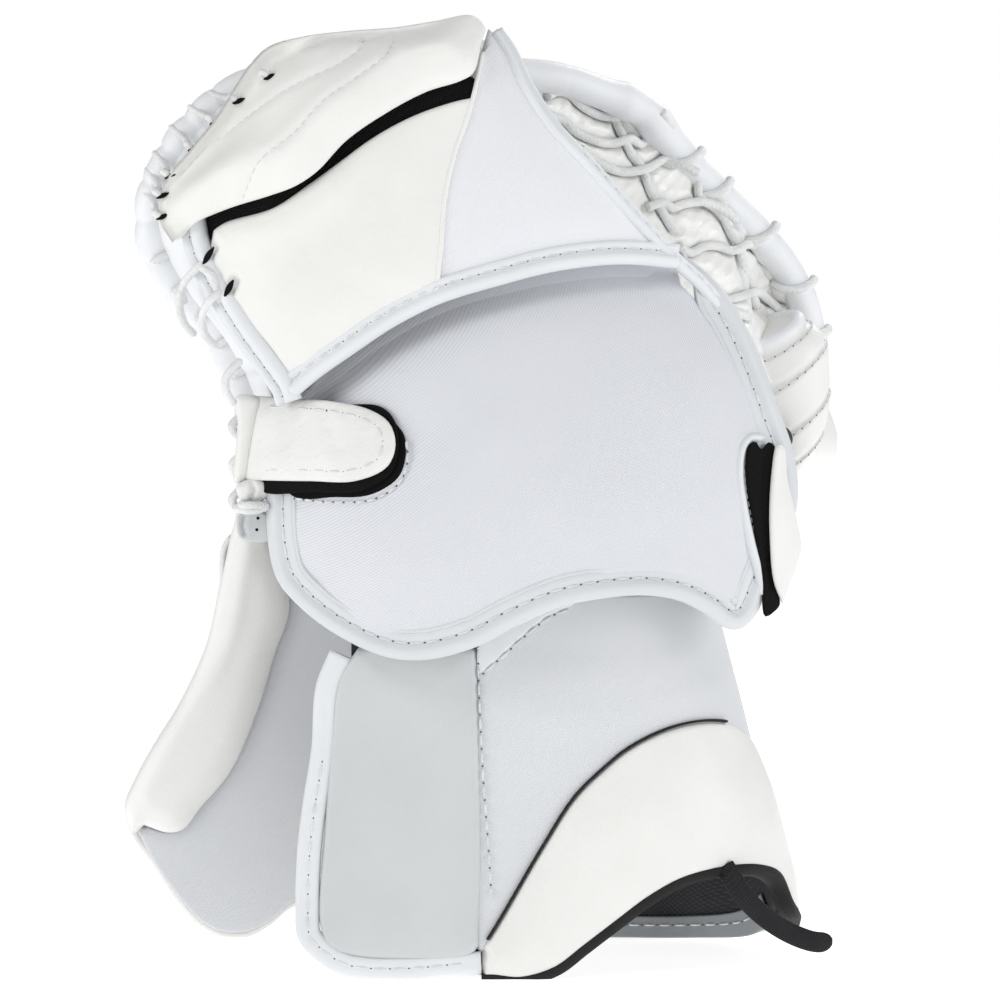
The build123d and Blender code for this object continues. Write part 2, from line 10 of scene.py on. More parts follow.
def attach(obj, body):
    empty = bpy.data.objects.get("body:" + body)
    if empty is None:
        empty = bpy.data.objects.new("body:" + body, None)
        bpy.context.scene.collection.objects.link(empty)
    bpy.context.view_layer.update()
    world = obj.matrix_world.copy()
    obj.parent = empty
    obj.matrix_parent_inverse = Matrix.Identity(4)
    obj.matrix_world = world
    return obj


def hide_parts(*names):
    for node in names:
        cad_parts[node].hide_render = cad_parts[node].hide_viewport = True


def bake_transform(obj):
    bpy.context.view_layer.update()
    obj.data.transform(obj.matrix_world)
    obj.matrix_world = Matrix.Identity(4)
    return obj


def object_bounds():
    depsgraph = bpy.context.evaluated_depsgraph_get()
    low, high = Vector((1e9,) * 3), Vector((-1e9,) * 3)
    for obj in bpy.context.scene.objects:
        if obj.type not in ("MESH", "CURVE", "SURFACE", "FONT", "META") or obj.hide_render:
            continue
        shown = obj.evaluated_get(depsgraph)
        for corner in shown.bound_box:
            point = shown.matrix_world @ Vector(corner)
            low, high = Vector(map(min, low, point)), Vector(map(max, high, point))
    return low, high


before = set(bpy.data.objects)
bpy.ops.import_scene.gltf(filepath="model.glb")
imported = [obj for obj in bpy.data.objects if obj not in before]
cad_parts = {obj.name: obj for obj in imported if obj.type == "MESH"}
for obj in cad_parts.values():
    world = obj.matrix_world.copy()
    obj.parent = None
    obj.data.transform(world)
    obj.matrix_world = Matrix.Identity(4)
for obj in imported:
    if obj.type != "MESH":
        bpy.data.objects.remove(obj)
cad_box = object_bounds()

# Shapes are worked out in millimetres, seen from the back of the hand: X across, Z up, Y away.
MM = 0.001

# ---------------------------------------------------------------- camera, light, floor

view_height = 0.203
view_side = -0.026
view_distance = 1.8
view_tilt = math.radians(2.5)
lens_mm = 145.8

camera = bpy.data.objects.new("camera", bpy.data.cameras.new("camera"))
camera.location = (view_side, -view_distance * math.cos(view_tilt),
                   view_height + view_distance * math.sin(view_tilt))
camera.rotation_euler = (math.pi / 2 - view_tilt, 0, 0)
camera.data.lens = lens_mm
camera.data.sensor_width = 36
bpy.context.collection.objects.link(camera)
bpy.context.scene.camera = camera


def area_light(name, place, target, size, watts, colour=(1, 1, 1)):
    """A soft square light, turned towards a point."""
    data = bpy.data.lights.new(name, "AREA")
    data.shape = "SQUARE"
    data.size = size
    data.energy = watts
    data.color = colour
    light = bpy.data.objects.new(name, data)
    light.location = place
    light.rotation_euler = (Vector(target) - Vector(place)).to_track_quat("-Z", "Y").to_euler()
    bpy.context.collection.objects.link(light)


def studio():
    """Plain soft light and a white surround; the pale floor comes from pale_floor."""
    middle = (-0.03, 0, 0.2)
    area_light("key", (-0.1, -1.2, 1.8), middle, 0.7, 6.8, (1.0, 0.998, 0.99))
    area_light("left", (-1.7, -0.75, 0.55), middle, 1.0, 9.0, (1.0, 0.995, 0.985))
    area_light("right", (1.7, -0.8, 0.7), middle, 1.0, 10.0, (0.985, 0.99, 1.0))
    area_light("rim", (0.7, 1.1, 1.3), middle, 0.8, 9)
    world = bpy.data.worlds.new("surround")
    world.use_nodes = True
    back = world.node_tree.nodes["Background"]
    back.inputs["Color"].default_value = (0.975, 0.985, 1.0, 1)
    back.inputs["Strength"].default_value = 0.35
    white = world.node_tree.nodes.new("ShaderNodeBackground")
    white.inputs["Color"].default_value = (1, 1, 1, 1)
    white.inputs["Strength"].default_value = 1.0
    rays = world.node_tree.nodes.new("ShaderNodeLightPath")
    mix = world.node_tree.nodes.new("ShaderNodeMixShader")
    link = world.node_tree.links.new
    link(rays.outputs["Is Camera Ray"], mix.inputs[0])
    link(back.outputs[0], mix.inputs[1])
    link(white.outputs[0], mix.inputs[2])
    link(mix.outputs[0], world.node_tree.nodes["World Output"].inputs[0])
    bpy.context.scene.world = world
    bpy.context.scene.view_settings.view_transform = "Standard"


def pale_floor():
    """A floor large enough to reach past the view, just under the glove."""
    reach = 9.0
    low = cad_box[0].z - 0.0004
    mesh = bpy.data.meshes.new("floor")
    corners = [(-reach, -reach, low), (reach, -reach, low), (reach, reach, low), (-reach, reach, low)]
    mesh.from_pydata(corners, [], [(0, 1, 2, 3)])
    floor = bpy.data.objects.new("floor", mesh)
    bpy.context.collection.objects.link(floor)
    paint = bpy.data.materials.new("floor_paint")
    paint.use_nodes = True
    shader = paint.node_tree.nodes["Principled BSDF"]
    shader.inputs["Base Color"].default_value = (0.5, 0.5, 0.5, 1)
    shader.inputs["Roughness"].default_value = 0.9
    shader.inputs["Specular IOR Level"].default_value = 0.1
    shader.inputs["Emission Color"].default_value = (1, 1, 1, 1)
    shader.inputs["Emission Strength"].default_value = 0.86
    mesh.materials.append(paint)


studio()
pale_floor()

# ---------------------------------------------------------------- materials


class Look:
    """A procedural material, built one node at a time on the Principled shader."""

    def __init__(self, name, slot, roughness=0.5, **sockets):
        self.slot = slot
        self.material = bpy.data.materials.new(name)
        self.material.use_nodes = True
        self.tree = self.material.node_tree
        self.shader = self.tree.nodes["Principled BSDF"]
        self.shader.inputs["Roughness"].default_value = roughness
        for socket, value in sockets.items():
            self.shader.inputs[socket.replace("_", " ")].default_value = value
        self.place = self.tree.nodes.new("ShaderNodeTexCoord").outputs["Object"]
        self.normal = None

    def node(self, kind, inputs, **settings):
        """Adds a node. inputs maps each socket to a value or to another node's output."""
        node = self.tree.nodes.new("ShaderNode" + kind)
        for key, value in settings.items():
            setattr(node, key, value)
        for socket, value in inputs.items():
            if isinstance(value, bpy.types.NodeSocket):
                self.tree.links.new(value, node.inputs[socket])
            else:
                node.inputs[socket].default_value = value
        return node

    def stretch(self, scale, turn=(0, 0, 0)):
        """Object coordinates, scaled and turned."""
        turned = self.node("Mapping", {"Vector": self.place, "Rotation": turn}).outputs[0]
        return self.node("Mapping", {"Vector": turned, "Scale": scale}).outputs[0]

    def noise(self, scale, detail=3, where=None, rough=0.5):
        inputs = {"Vector": where or self.place, "Scale": scale, "Detail": detail, "Roughness": rough}
        return self.node("TexNoise", inputs).outputs["Fac"]

    def cells(self, scale, feature="F1"):
        inputs = {"Vector": self.place, "Scale": scale}
        return self.node("TexVoronoi", inputs, feature=feature).outputs["Distance"]

    def lines(self, scale, where=None, direction="DIAGONAL", distort=0.0):
        inputs = {"Vector": where or self.place, "Scale": scale, "Distortion": distort,
                  "Detail": 1.0, "Detail Scale": 2.0}
        node = self.node("TexWave", inputs, wave_type="BANDS", bands_direction=direction)
        return node.outputs["Fac"]

    def colour(self, factor, stops):
        """Base colour from a factor, by (position, colour) stops."""
        ramp = self.node("ValToRGB", {0: factor})
        elements = ramp.color_ramp.elements
        while len(elements) < len(stops):
            elements.new(0.5)
        for element, (position, tint) in zip(elements, stops):
            element.position = position
            element.color = (*tint, 1)
        self.tree.links.new(ramp.outputs[0], self.shader.inputs["Base Color"])
        return ramp.outputs[0]

    def rough(self, factor, low, high):
        spread = self.node("MapRange", {"Value": factor, "To Min": low, "To Max": high})
        self.tree.links.new(spread.outputs[0], self.shader.inputs["Roughness"])

    def bump(self, height, depth_mm, strength=1.0):
        """Adds relief of the given depth on top of any relief already there."""
        inputs = {"Height": height, "Distance": depth_mm * MM, "Strength": strength}
        if self.normal:
            inputs["Normal"] = self.normal
        self.normal = self.node("Bump", inputs).outputs[0]
        self.tree.links.new(self.normal, self.shader.inputs["Normal"])

    def product(self, first, second):
        return self.node("Math", {0: first, 1: second}, operation="MULTIPLY").outputs[0]


def leather(name, light, dark, slot="white_leather", roughness=(0.38, 0.52), folds=0.35, grain=0.05,
            coat=0.06):
    """Coated leather: fine pebbled grain, a few soft folds and a faint change of tone."""
    look = Look(name, slot, Specular_IOR_Level=0.45, Coat_Weight=coat, Coat_Roughness=0.2)
    tone = look.noise(28, 4)
    look.colour(tone, [(0.3, dark), (0.65, light)])
    pebble = look.cells(1500)
    look.rough(look.noise(420, 3), *roughness)
    look.bump(pebble, grain)
    long_folds = look.stretch((1.0, 1.0, 2.2), (0, 0.5, 0))
    look.bump(look.noise(75, 5, long_folds, 0.62), folds)
    return look


def nylon(name, light, dark, pitch_mm=0.95, depth=0.07):
    """Woven ballistic nylon: a diagonal twill with its cross threads."""
    look = Look(name, "white_nylon", 0.62, Sheen_Weight=0.25, Sheen_Roughness=0.4)
    across = look.stretch((1.0, 0.7, -1.0))
    along = look.stretch((1.0, 0.7, 1.0))
    per_pitch = 0.444 / (pitch_mm * MM)
    twill = look.lines(per_pitch, across, distort=0.6)
    weft = look.lines(per_pitch * 1.7, along, distort=0.8)
    weave = look.node("MixRGB", {0: 0.35, 1: twill, 2: weft}, blend_type="MULTIPLY").outputs[0]
    soiled = look.noise(22, 4)
    tone = look.node("MixRGB", {0: 0.3, 1: weave, 2: soiled}).outputs[0]
    look.colour(tone, [(0.12, dark), (0.62, light)])
    look.rough(weave, 0.72, 0.52)
    look.bump(weave, depth)
    look.bump(look.noise(38, 3), 0.35)
    return look


def fabric(name, slot, light, dark, scale, depth, roughness=(0.6, 0.8), **sockets):
    """A plain close weave."""
    look = Look(name, slot, **sockets)
    warp = look.lines(scale, look.stretch((1, 1, -1)))
    weft = look.lines(scale, look.stretch((1, 1, 1)))
    weave = look.product(warp, weft)
    tone = look.node("MixRGB", {0: 0.4, 1: weave, 2: look.noise(60, 3)}).outputs[0]
    look.colour(tone, [(0.1, dark), (0.6, light)])
    look.rough(weave, *roughness)
    look.bump(weave, depth)
    return look


def pile(name, slot, light, dark, scale, depth):
    """Hook or loop tape, or felt: short rough pile."""
    look = Look(name, slot, 0.95, Specular_IOR_Level=0.15)
    fuzz = look.noise(scale, 6, None, 0.75)
    look.colour(fuzz, [(0.35, dark), (0.68, light)])
    look.rough(fuzz, 0.8, 1.0)
    look.bump(fuzz, depth)
    return look


def foam(name, slot, light, dark):
    """Closed-cell foam, with its cut cells."""
    look = Look(name, slot, 0.85)
    cell = look.cells(900)
    look.colour(cell, [(0.1, dark), (0.5, light)])
    look.rough(cell, 0.75, 0.95)
    look.bump(cell, 0.2)
    return look


def plastic_sheet(name, slot, light, dark):
    """Moulded polyethylene board, with a satin, slightly orange-peel face."""
    look = Look(name, slot, 0.4)
    peel = look.noise(300, 3)
    look.colour(look.noise(40, 3), [(0.3, dark), (0.7, light)])
    look.rough(peel, 0.35, 0.5)
    look.bump(peel, 0.08)
    return look


def cord_look(name, light, dark):
    """Waxed round lace: a tight diagonal braid."""
    look = Look(name, "lace", 0.55, Sheen_Weight=0.1)
    braid = look.product(look.lines(260, look.stretch((1, 1, 1))), look.lines(260, look.stretch((1, -1, -1))))
    look.colour(look.noise(90, 3), [(0.3, dark), (0.65, light)])
    look.rough(braid, 0.6, 0.45)
    look.bump(braid, 0.18)
    return look


WARM = leather("leather_warm", (0.86, 0.86, 0.835), (0.82, 0.82, 0.795))
COOL = leather("leather_cool", (0.84, 0.855, 0.875), (0.80, 0.815, 0.835), folds=0.3)
# Painted shade: a dark grey copy of the grey-white binding leather, for the band that lies in shade inside
# the cuff's far wall.
GREYER_SHADED = leather("leather_inside_shaded", (0.30, 0.32, 0.33), (0.24, 0.26, 0.27), folds=0.6)
# Painted shade: grey-white leather darkened for the flat pad, which the light from above reaches less; also
# used for the box under the strap anchor.
GREY_SHADED = leather("leather_grey_shaded", (0.62, 0.642, 0.648), (0.59, 0.612, 0.618), folds=0.2)
# Painted light: a brighter copy of the warm leather for the wing's edge strip, where the light from the left
# falls.
WING_LIT = leather("leather_wing_lit", (0.935, 0.935, 0.915), (0.90, 0.90, 0.88), folds=0.3)
CREASED = leather("leather_creased", (0.86, 0.86, 0.84), (0.80, 0.80, 0.78), folds=0.9)
# Painted light: the web's leather is paler than the other leathers to brighten it where the T roll and piping
# shade it; its coat gives real gloss.
GLOSSY_LIT = leather("web_leather_lit", (0.93, 0.93, 0.905), (0.89, 0.89, 0.86), "web_skin", (0.14, 0.26), 0.8,
                 coat=0.35)
CATCH = leather("leather_catch", (0.84, 0.84, 0.82), (0.78, 0.78, 0.755), folds=0.5)
TWILL = nylon("nylon_twill", (0.85, 0.862, 0.89), (0.74, 0.755, 0.795))
# Painted shade: a darker copy of the nylon for the wrist flap, which lies in shade in the middle of the
# glove.
TWILL_FLAP_SHADED = nylon("nylon_flap_shaded", (0.755, 0.77, 0.805), (0.65, 0.665, 0.71))
# Painted shade: a darker copy of the nylon for the cuff wrap, the far lining and the wing's inner face, which
# lie in shade.
TWILL_SHADED = nylon("nylon_cuff_shaded", (0.745, 0.76, 0.78), (0.65, 0.665, 0.69))
TAPE = leather("binding_tape", (0.79, 0.81, 0.83), (0.755, 0.775, 0.795), "binding", (0.42, 0.55), 0.15, 0.04)
# Painted shade: a darker copy of the binding tape for the wrist flap's edge, which lies in shade.
TAPE_FLAP_SHADED = leather("binding_flap_shaded", (0.71, 0.73, 0.75), (0.675, 0.695, 0.715), "binding", (0.42, 0.55), 0.15,
                    0.04)
LACE = cord_look("lace_braid", (0.84, 0.845, 0.84), (0.72, 0.73, 0.725))
THREAD = cord_look("thread", (0.80, 0.82, 0.84), (0.66, 0.68, 0.71))
# Painted shade: needle holes are drawn as small dark grey dots standing in for the shade inside each hole.
HOLE_SHADE = pile("needle_hole_shade", "hook_loop", (0.22, 0.23, 0.24), (0.14, 0.145, 0.15), 1500, 0.05)
HOOK = pile("hook_tape", "hook_loop", (0.009, 0.009, 0.010), (0.002, 0.002, 0.002), 1600, 0.35)
BLACK_MESH = fabric("black_mesh", "liner", (0.016, 0.016, 0.018), (0.003, 0.003, 0.003), 420, 0.25,
                    Specular_IOR_Level=0.2)
LINER = fabric("lining", "liner", (0.05, 0.05, 0.055), (0.015, 0.015, 0.017), 300, 0.15,
               Specular_IOR_Level=0.2)
WEBBING = fabric("black_webbing", "webbing", (0.03, 0.03, 0.033), (0.008, 0.008, 0.009), 330, 0.3,
                 Specular_IOR_Level=0.2)
TRIM = fabric("black_trim", "binding", (0.03, 0.03, 0.03), (0.01, 0.01, 0.01), 500, 0.1,
              Specular_IOR_Level=0.2)
FOAM = foam("foam_cells", "foam", (0.74, 0.76, 0.77), (0.58, 0.60, 0.62))
BOARD = plastic_sheet("stiffener_board", "stiffener", (0.62, 0.65, 0.68), (0.55, 0.58, 0.61))

# ---------------------------------------------------------------- curves and surfaces


def travelled(path):
    """The distance along a path at each of its points."""
    return np.concatenate([[0], np.cumsum(np.linalg.norm(np.diff(path, axis=0), axis=1))])


def resample(path, step, closed=False, count=None):
    """The same path with points at an even spacing."""
    path = np.asarray(path, float)
    if closed:
        path = np.vstack([path, path[:1]])
    gone = travelled(path)
    if count is None:
        count = max(3, int(round(gone[-1] / step)) + (0 if closed else 1))
    spots = np.linspace(0, gone[-1], count, endpoint=not closed)
    return np.stack([np.interp(spots, gone, path[:, i]) for i in range(path.shape[1])], axis=1)


def curve(points, step=1.6, closed=False, count=None):
    """A smooth curve through the points (a centripetal Catmull-Rom spline), evenly spaced."""
    p = np.asarray(points, float)
    if closed:
        q = np.vstack([p[-1:], p, p[:2]])
    else:
        q = np.vstack([2 * p[:1] - p[1:2], p, 2 * p[-1:] - p[-2:-1]])
    fine = []
    for a, b, c, d in zip(q[:-3], q[1:-2], q[2:-1], q[3:]):
        k = [0.0]
        for start, end in ((a, b), (b, c), (c, d)):
            k.append(k[-1] + max(1e-6, np.linalg.norm(end - start)) ** 0.5)
        t = np.linspace(k[1], k[2], 12, endpoint=False)[:, None]
        first = [(k[i + 1] - t) / (k[i + 1] - k[i]) * s + (t - k[i]) / (k[i + 1] - k[i]) * e
                 for i, (s, e) in enumerate(((a, b), (b, c), (c, d)))]
        second = [(k[i + 2] - t) / (k[i + 2] - k[i]) * first[i] + (t - k[i]) / (k[i + 2] - k[i])
                  * first[i + 1]
                  for i in range(2)]
        fine.append((k[2] - t) / (k[2] - k[1]) * second[0] + (t - k[1]) / (k[2] - k[1]) * second[1])
    if not closed:
        fine.append(p[-1:])
    return resample(np.vstack(fine), step, closed, count)


def along(path, closed=False):
    """Unit directions along a path."""
    if closed:
        run = np.roll(path, -1, 0) - np.roll(path, 1, 0)
    else:
        run = np.gradient(path, axis=0)
    return run / np.maximum(np.linalg.norm(run, axis=1, keepdims=True), 1e-9)


def unit(v):
    v = np.asarray(v, float)
    return v / np.linalg.norm(v)


def left_of(line, closed=False):
    """The left-hand direction at each point of a 2-D line."""
    return along(line, closed)[:, ::-1] * [-1, 1]


def leftward(edge):
    """Whether a closed 2-D outline runs anticlockwise."""
    return np.sum(edge[:, 0] * np.roll(edge[:, 1], -1) - np.roll(edge[:, 0], -1) * edge[:, 1]) >= 0


def away(points, path, closed=False):
    """How far each 2-D point is from a path."""
    a = np.asarray(path, float)
    b = np.roll(a, -1, 0) if closed else a[1:]
    a = a if closed else a[:-1]
    run = b - a
    size = np.maximum((run**2).sum(1), 1e-12)
    best = np.full(len(points), 1e9)
    for begin in range(0, len(points), 4000):
        part = points[begin:begin + 4000, None, :] - a[None]
        t = np.clip((part * run[None]).sum(2) / size, 0, 1)
        gap = part - t[..., None] * run[None]
        best[begin:begin + 4000] = np.sqrt((gap**2).sum(2).min(1))
    return best


def smooth_step(x):
    x = np.clip(x, 0, 1)
    return x * x * (3 - 2 * x)


def bell(gap, width):
    """One at no gap, falling off over the width."""
    return np.exp(-((gap / width) ** 2))


def rounded(inside, width):
    """A quarter round from 0 at an edge to 1 at a width inside it."""
    return np.sqrt(np.clip(1 - (1 - np.clip(inside / width, 0, 1)) ** 2, 0, 1))


def crowned(inside, crown, reach):
    """A soft rise from an edge up to a crown."""
    return crown * np.sin(np.pi / 2 * np.clip(inside / reach, 0, 1))


def circle(count):
    """Angles evenly round a circle."""
    return np.linspace(0, 2 * math.pi, count, endpoint=False)


class Surface:
    """A surface given by a function from (u, v) to points, with its outer side on side 1 or -1."""

    def __init__(self, place, side=1):
        self.place = place
        self.side = side

    def normal(self, uv):
        e = 0.2
        u, v = uv[:, 0], uv[:, 1]
        du = self.place(u + e, v) - self.place(u - e, v)
        dv = self.place(u, v + e) - self.place(u, v - e)
        n = np.cross(du, dv)
        return n / np.linalg.norm(n, axis=1, keepdims=True) * self.side

    def at(self, uv, lift=0.0):
        uv = np.atleast_2d(np.asarray(uv, float))
        lift = np.broadcast_to(np.asarray(lift, float), (len(uv),))
        return self.place(uv[:, 0], uv[:, 1]) + self.normal(uv) * lift[:, None]


def arched(mid, radius, rise):
    """A panel over the back of the hand: one plan radius, with its front moving as it rises."""
    heights, fronts = zip(*rise)
    shape = np.polyfit(heights, fronts, len(rise) - 1)

    def place(x, z):
        sag = radius - np.sqrt(np.maximum(radius**2 - (x - mid) ** 2, 1.0))
        return np.stack([x, np.polyval(shape, np.clip(z, heights[0] - 8, heights[-1] + 4)) + sag, z], axis=1)

    return Surface(place)


def flat(y, side=1):
    """An upright plane at one depth."""
    return Surface(lambda x, z: np.stack([x, np.full_like(x, y), z], axis=1), side)


def tilted(origin, right, up, side=1):
    """A plane through origin, with u along right and v along up."""
    origin, right, up = (np.asarray(a, float) for a in (origin, right, up))
    return Surface(lambda u, v: origin + u[:, None] * right + v[:, None] * up, side)


BACK = arched(-45.0, 230.0, [(244, -74), (300, -76), (350, -71), (412, -45)])
FLAP = arched(-12.0, 159.4, [(130, -88), (190, -92), (250, -84), (285, -71), (322, -52)])

cuff_radius, cuff_y, cuff_foot, cuff_top, cuff_height = 59.0, -7.0, 52.0, 8.0, 165.0


def cuff_centre(z):
    return cuff_foot + (cuff_top - cuff_foot) * z / cuff_height


def cuff_place(s, z, radius=cuff_radius):
    """The cuff unrolled: s runs along the near wall, round the thumb side and back along the far wall."""
    cx = cuff_centre(z)
    turn = np.clip((s - cx) / cuff_radius, 0, math.pi)
    past = np.maximum(s - cx - math.pi * cuff_radius, 0)
    x = np.where(s < cx, s, cx + radius * np.sin(turn) - past)
    return np.stack([x, cuff_y - radius * np.cos(turn), z], axis=1)


CUFF = Surface(cuff_place)


def unrolled(points):
    """Cuff outline points seen from the front, (x, z), as places along the unrolled wall."""
    out = []
    for x, z in points:
        cx = cuff_centre(z)
        out.append((x if x < cx else cx + cuff_radius * math.asin(min(1.0, (x - cx) / cuff_radius)), z))
    return out


# ---------------------------------------------------------------- mesh building


class Build:
    """Collects vertices (mm) and faces, then makes one object of them."""

    def __init__(self):
        self.points = []
        self.faces = []
        self.count = 0

    def add(self, points, faces):
        self.points.append(np.asarray(points, float))
        self.faces += [tuple(int(i) + self.count for i in face) for face in faces]
        self.count += len(points)

    def make(self, name, body, look, nodes=()):
        mesh = bpy.data.meshes.new(name)
        mesh.from_pydata((np.vstack(self.points) * MM).tolist(), [], self.faces)
        mesh.validate()
        mesh.update()
        mesh.materials.append(look.material)
        mesh.shade_smooth()
        piece = bpy.data.objects.new(name, mesh)
        bpy.context.collection.objects.link(piece)
        if nodes:
            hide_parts(*nodes)
        if body:
            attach(piece, body)
        return piece


def grid_faces(rows, columns, wrap_rows=False, wrap_columns=False, capped=False):
    """Faces of a grid of points, which may close on itself, with its first and last rows capped."""
    faces = []
    for i in range(rows if wrap_rows else rows - 1):
        for j in range(columns if wrap_columns else columns - 1):
            a, b = i * columns + j, i * columns + (j + 1) % columns
            c, d = ((i + 1) % rows) * columns + (j + 1) % columns, ((i + 1) % rows) * columns + j
            faces.append((a, b, c, d))
    if capped:
        faces += [tuple(range(columns))[::-1], tuple((rows - 1) * columns + j for j in range(columns))]
    return faces


def panel(name, body, look, edge, surface, low, high, round_edge=2.2, crown=0.0, reach=30.0,
          seams=(), relief=None, pitch=2.6, nodes=(), under=None):
    """A closed sewn panel on a surface.

    low and high are the heights of its two faces above the surface, rounded together at the edge;
    the outer face rises by crown over reach from the edge and sinks at each seam, a (line, depth, width).
    """
    edge = np.asarray(edge, float)
    if not leftward(edge):
        edge = edge[::-1]
    inward = left_of(edge, True)
    rings = [edge]
    for depth in (0.12, 0.4, 0.8, 1.25):
        ring = edge + inward * depth * round_edge
        rings.append(ring[away(ring, edge, True) > 0.93 * depth * round_edge])
    lo, hi = edge.min(0), edge.max(0)
    columns = np.arange(lo[0], hi[0], pitch)
    rows = np.arange(lo[1], hi[1], pitch * 0.866)
    field = np.array([(x + (pitch / 2 if j % 2 else 0), z) for j, z in enumerate(rows) for x in columns])
    field = field[away(field, edge, True) > 1.25 * round_edge + 0.5 * pitch]
    seam_points = [field] if not seams else []
    if seams:
        clear = np.ones(len(field), bool)
        for line, depth, width in seams:
            clear &= away(field, line) > 0.6 * width + 0.4
        seam_points = [field[clear]]
        for line, depth, width in seams:
            side = left_of(line)
            for shift in (-0.5 * width, 0, 0.5 * width):
                row = line + side * shift
                seam_points.append(row[away(row, edge, True) > 1.25 * round_edge + 0.3])
    everything = np.vstack(rings + seam_points)
    loop = [(i, (i + 1) % len(edge)) for i in range(len(edge))]
    found = delaunay_2d_cdt([Vector(p) for p in everything.tolist()], loop, [], 1, 1e-5)
    uv = np.array([tuple(v) for v in found[0]])
    # Points outside a concave outline belong to no triangle and are left out.
    used = sorted({i for face in found[2] for i in face})
    renumber = {old: new for new, old in enumerate(used)}
    faces = [tuple(renumber[i] for i in face) for face in found[2]]
    uv = uv[used]
    inside = away(uv, edge, True)
    rounding = rounded(inside, round_edge)
    middle = (low + high) / 2
    top = middle + (high - middle) * rounding + crowned(inside, crown, reach)
    for line, depth, width in seams:
        gap = away(uv, line)
        top = top + depth * rounding * (0.35 * bell(gap - 2.4 * width, 1.6 * width) - bell(gap, width))
    if relief is not None:
        top = top + relief(uv, inside) * rounding
    bottom = middle - (middle - low) * rounding
    if under is not None:
        bottom = bottom + under(uv, inside) * rounding
    rim = inside < 1e-4
    numbers = np.arange(len(uv)) + len(uv)
    numbers[rim] = np.arange(len(uv))[rim]
    build = Build()
    lower = [tuple(numbers[i] for i in reversed(face)) for face in faces]
    build.add(np.vstack([surface.at(uv, top), surface.at(uv, bottom)]), faces + lower)
    piece = build.make(name, body, look, nodes)
    drop_loose(piece)


def drop_loose(piece):
    """Removes vertices that no face uses."""
    mesh = piece.data
    used = np.zeros(len(mesh.vertices), bool)
    corners = np.empty(len(mesh.loops), int)
    mesh.loops.foreach_get("vertex_index", corners)
    used[corners] = True
    if used.all():
        return
    work = bmesh.new()
    work.from_mesh(mesh)
    bmesh.ops.delete(work, geom=[v for v in work.verts if not v.link_faces], context="VERTS")
    work.to_mesh(mesh)
    work.free()


def side_of(line, closed):
    """The left-hand direction of a 2-D line, evened out so that a sharp turn doesn't fold it."""
    side = left_of(line, closed)
    for _ in range(3):
        if closed:
            side = (np.roll(side, 1, 0) + 2 * side + np.roll(side, -1, 0)) / 4
        else:
            side[1:-1] = (side[:-2] + 2 * side[1:-1] + side[2:]) / 4
    return side / np.linalg.norm(side, axis=1, keepdims=True)


def strip(build, line, surface, profile, closed=False, widths=None):
    """A band sewn along a line on a surface. profile is a closed loop of (across, lift); widths scale it."""
    side = side_of(line, closed)
    widths = np.ones(len(line)) if widths is None else widths
    loops = [surface.at(line + side * (a * widths)[:, None], h * widths) for a, h in profile]
    points = np.stack(loops, axis=1)
    rows, columns = points.shape[:2]
    build.add(points.reshape(-1, 3), grid_faces(rows, columns, closed, True, not closed))


def bound(name, body, look, line, surface, profile, nodes=(), widths=None):
    """A band as a piece of its own."""
    build = Build()
    strip(build, line, surface, profile, widths=widths)
    build.make(name, body, look, nodes)


def frames(path, up=None, closed=False):
    """Two directions square to a path at each point; up is kept as the first where it is given."""
    run = along(path, closed)
    if up is None:
        first = np.zeros_like(path)
        guess = np.array([0.3, 0.2, 0.93])
        for i, t in enumerate(run):
            guess = guess - t * guess.dot(t)
            guess = guess / np.linalg.norm(guess)
            first[i] = guess
    else:
        first = up - run * (up * run).sum(1, keepdims=True)
        first = first / np.maximum(np.linalg.norm(first, axis=1, keepdims=True), 1e-9)
    return first, np.cross(run, first)


def tube(build, path, radius, sides=10, closed=False, up=None, flat_by=1.0):
    """A round or flattened tube along a path; radius may differ at each point."""
    first, second = frames(path, up, closed)
    radius = np.broadcast_to(np.asarray(radius, float), (len(path),))[:, None]
    rings = [path + radius * (flat_by * math.cos(a) * first + math.sin(a) * second) for a in circle(sides)]
    points = np.stack(rings, axis=1)
    build.add(points.reshape(-1, 3), grid_faces(len(path), sides, closed, True, not closed))


def cord(build, points, radius=1.7, sides=10, step=1.0):
    """A lace through given points, with rounded ends."""
    path = curve(points, step)
    size = np.full(len(path), radius)
    size[0] = size[-1] = 0.35 * radius
    tube(build, path, size, sides)


def stitches(build, holes, path, normal, pitch=7.2, length=5.0, thick=0.5, sink=0.25):
    """Thread lying along a path on a surface, with a needle hole between stitches."""
    gone = travelled(path)
    total = gone[-1]
    count = max(1, int(total / pitch))
    pitch = total / count

    def spot(s):
        return (np.stack([np.interp(s, gone, values[:, i]) for i in range(3)], axis=1)
                for values in (path, normal))

    shape = [(-0.5, 0.45, -1.0), (-0.42, 0.9, -0.2), (-0.2, 1.0, 0.6), (0.2, 1.0, 0.6), (0.42, 0.9, -0.2),
             (0.5, 0.45, -1.0)]
    for i in range(count):
        middle = (i + 0.5) * pitch
        at, up = spot(np.clip(middle + np.array([a for a, _, _ in shape]) * length, 0, total))
        lift = np.array([h for _, _, h in shape])[:, None]
        tube(build, at + up * lift * thick * (1 - sink), [r * thick for _, r, _ in shape], 6, up=up)
        if holes is not None:
            at, up = spot(np.array([i * pitch]))
            pit(holes, at[0], up[0], 0.6 * thick + 0.2)


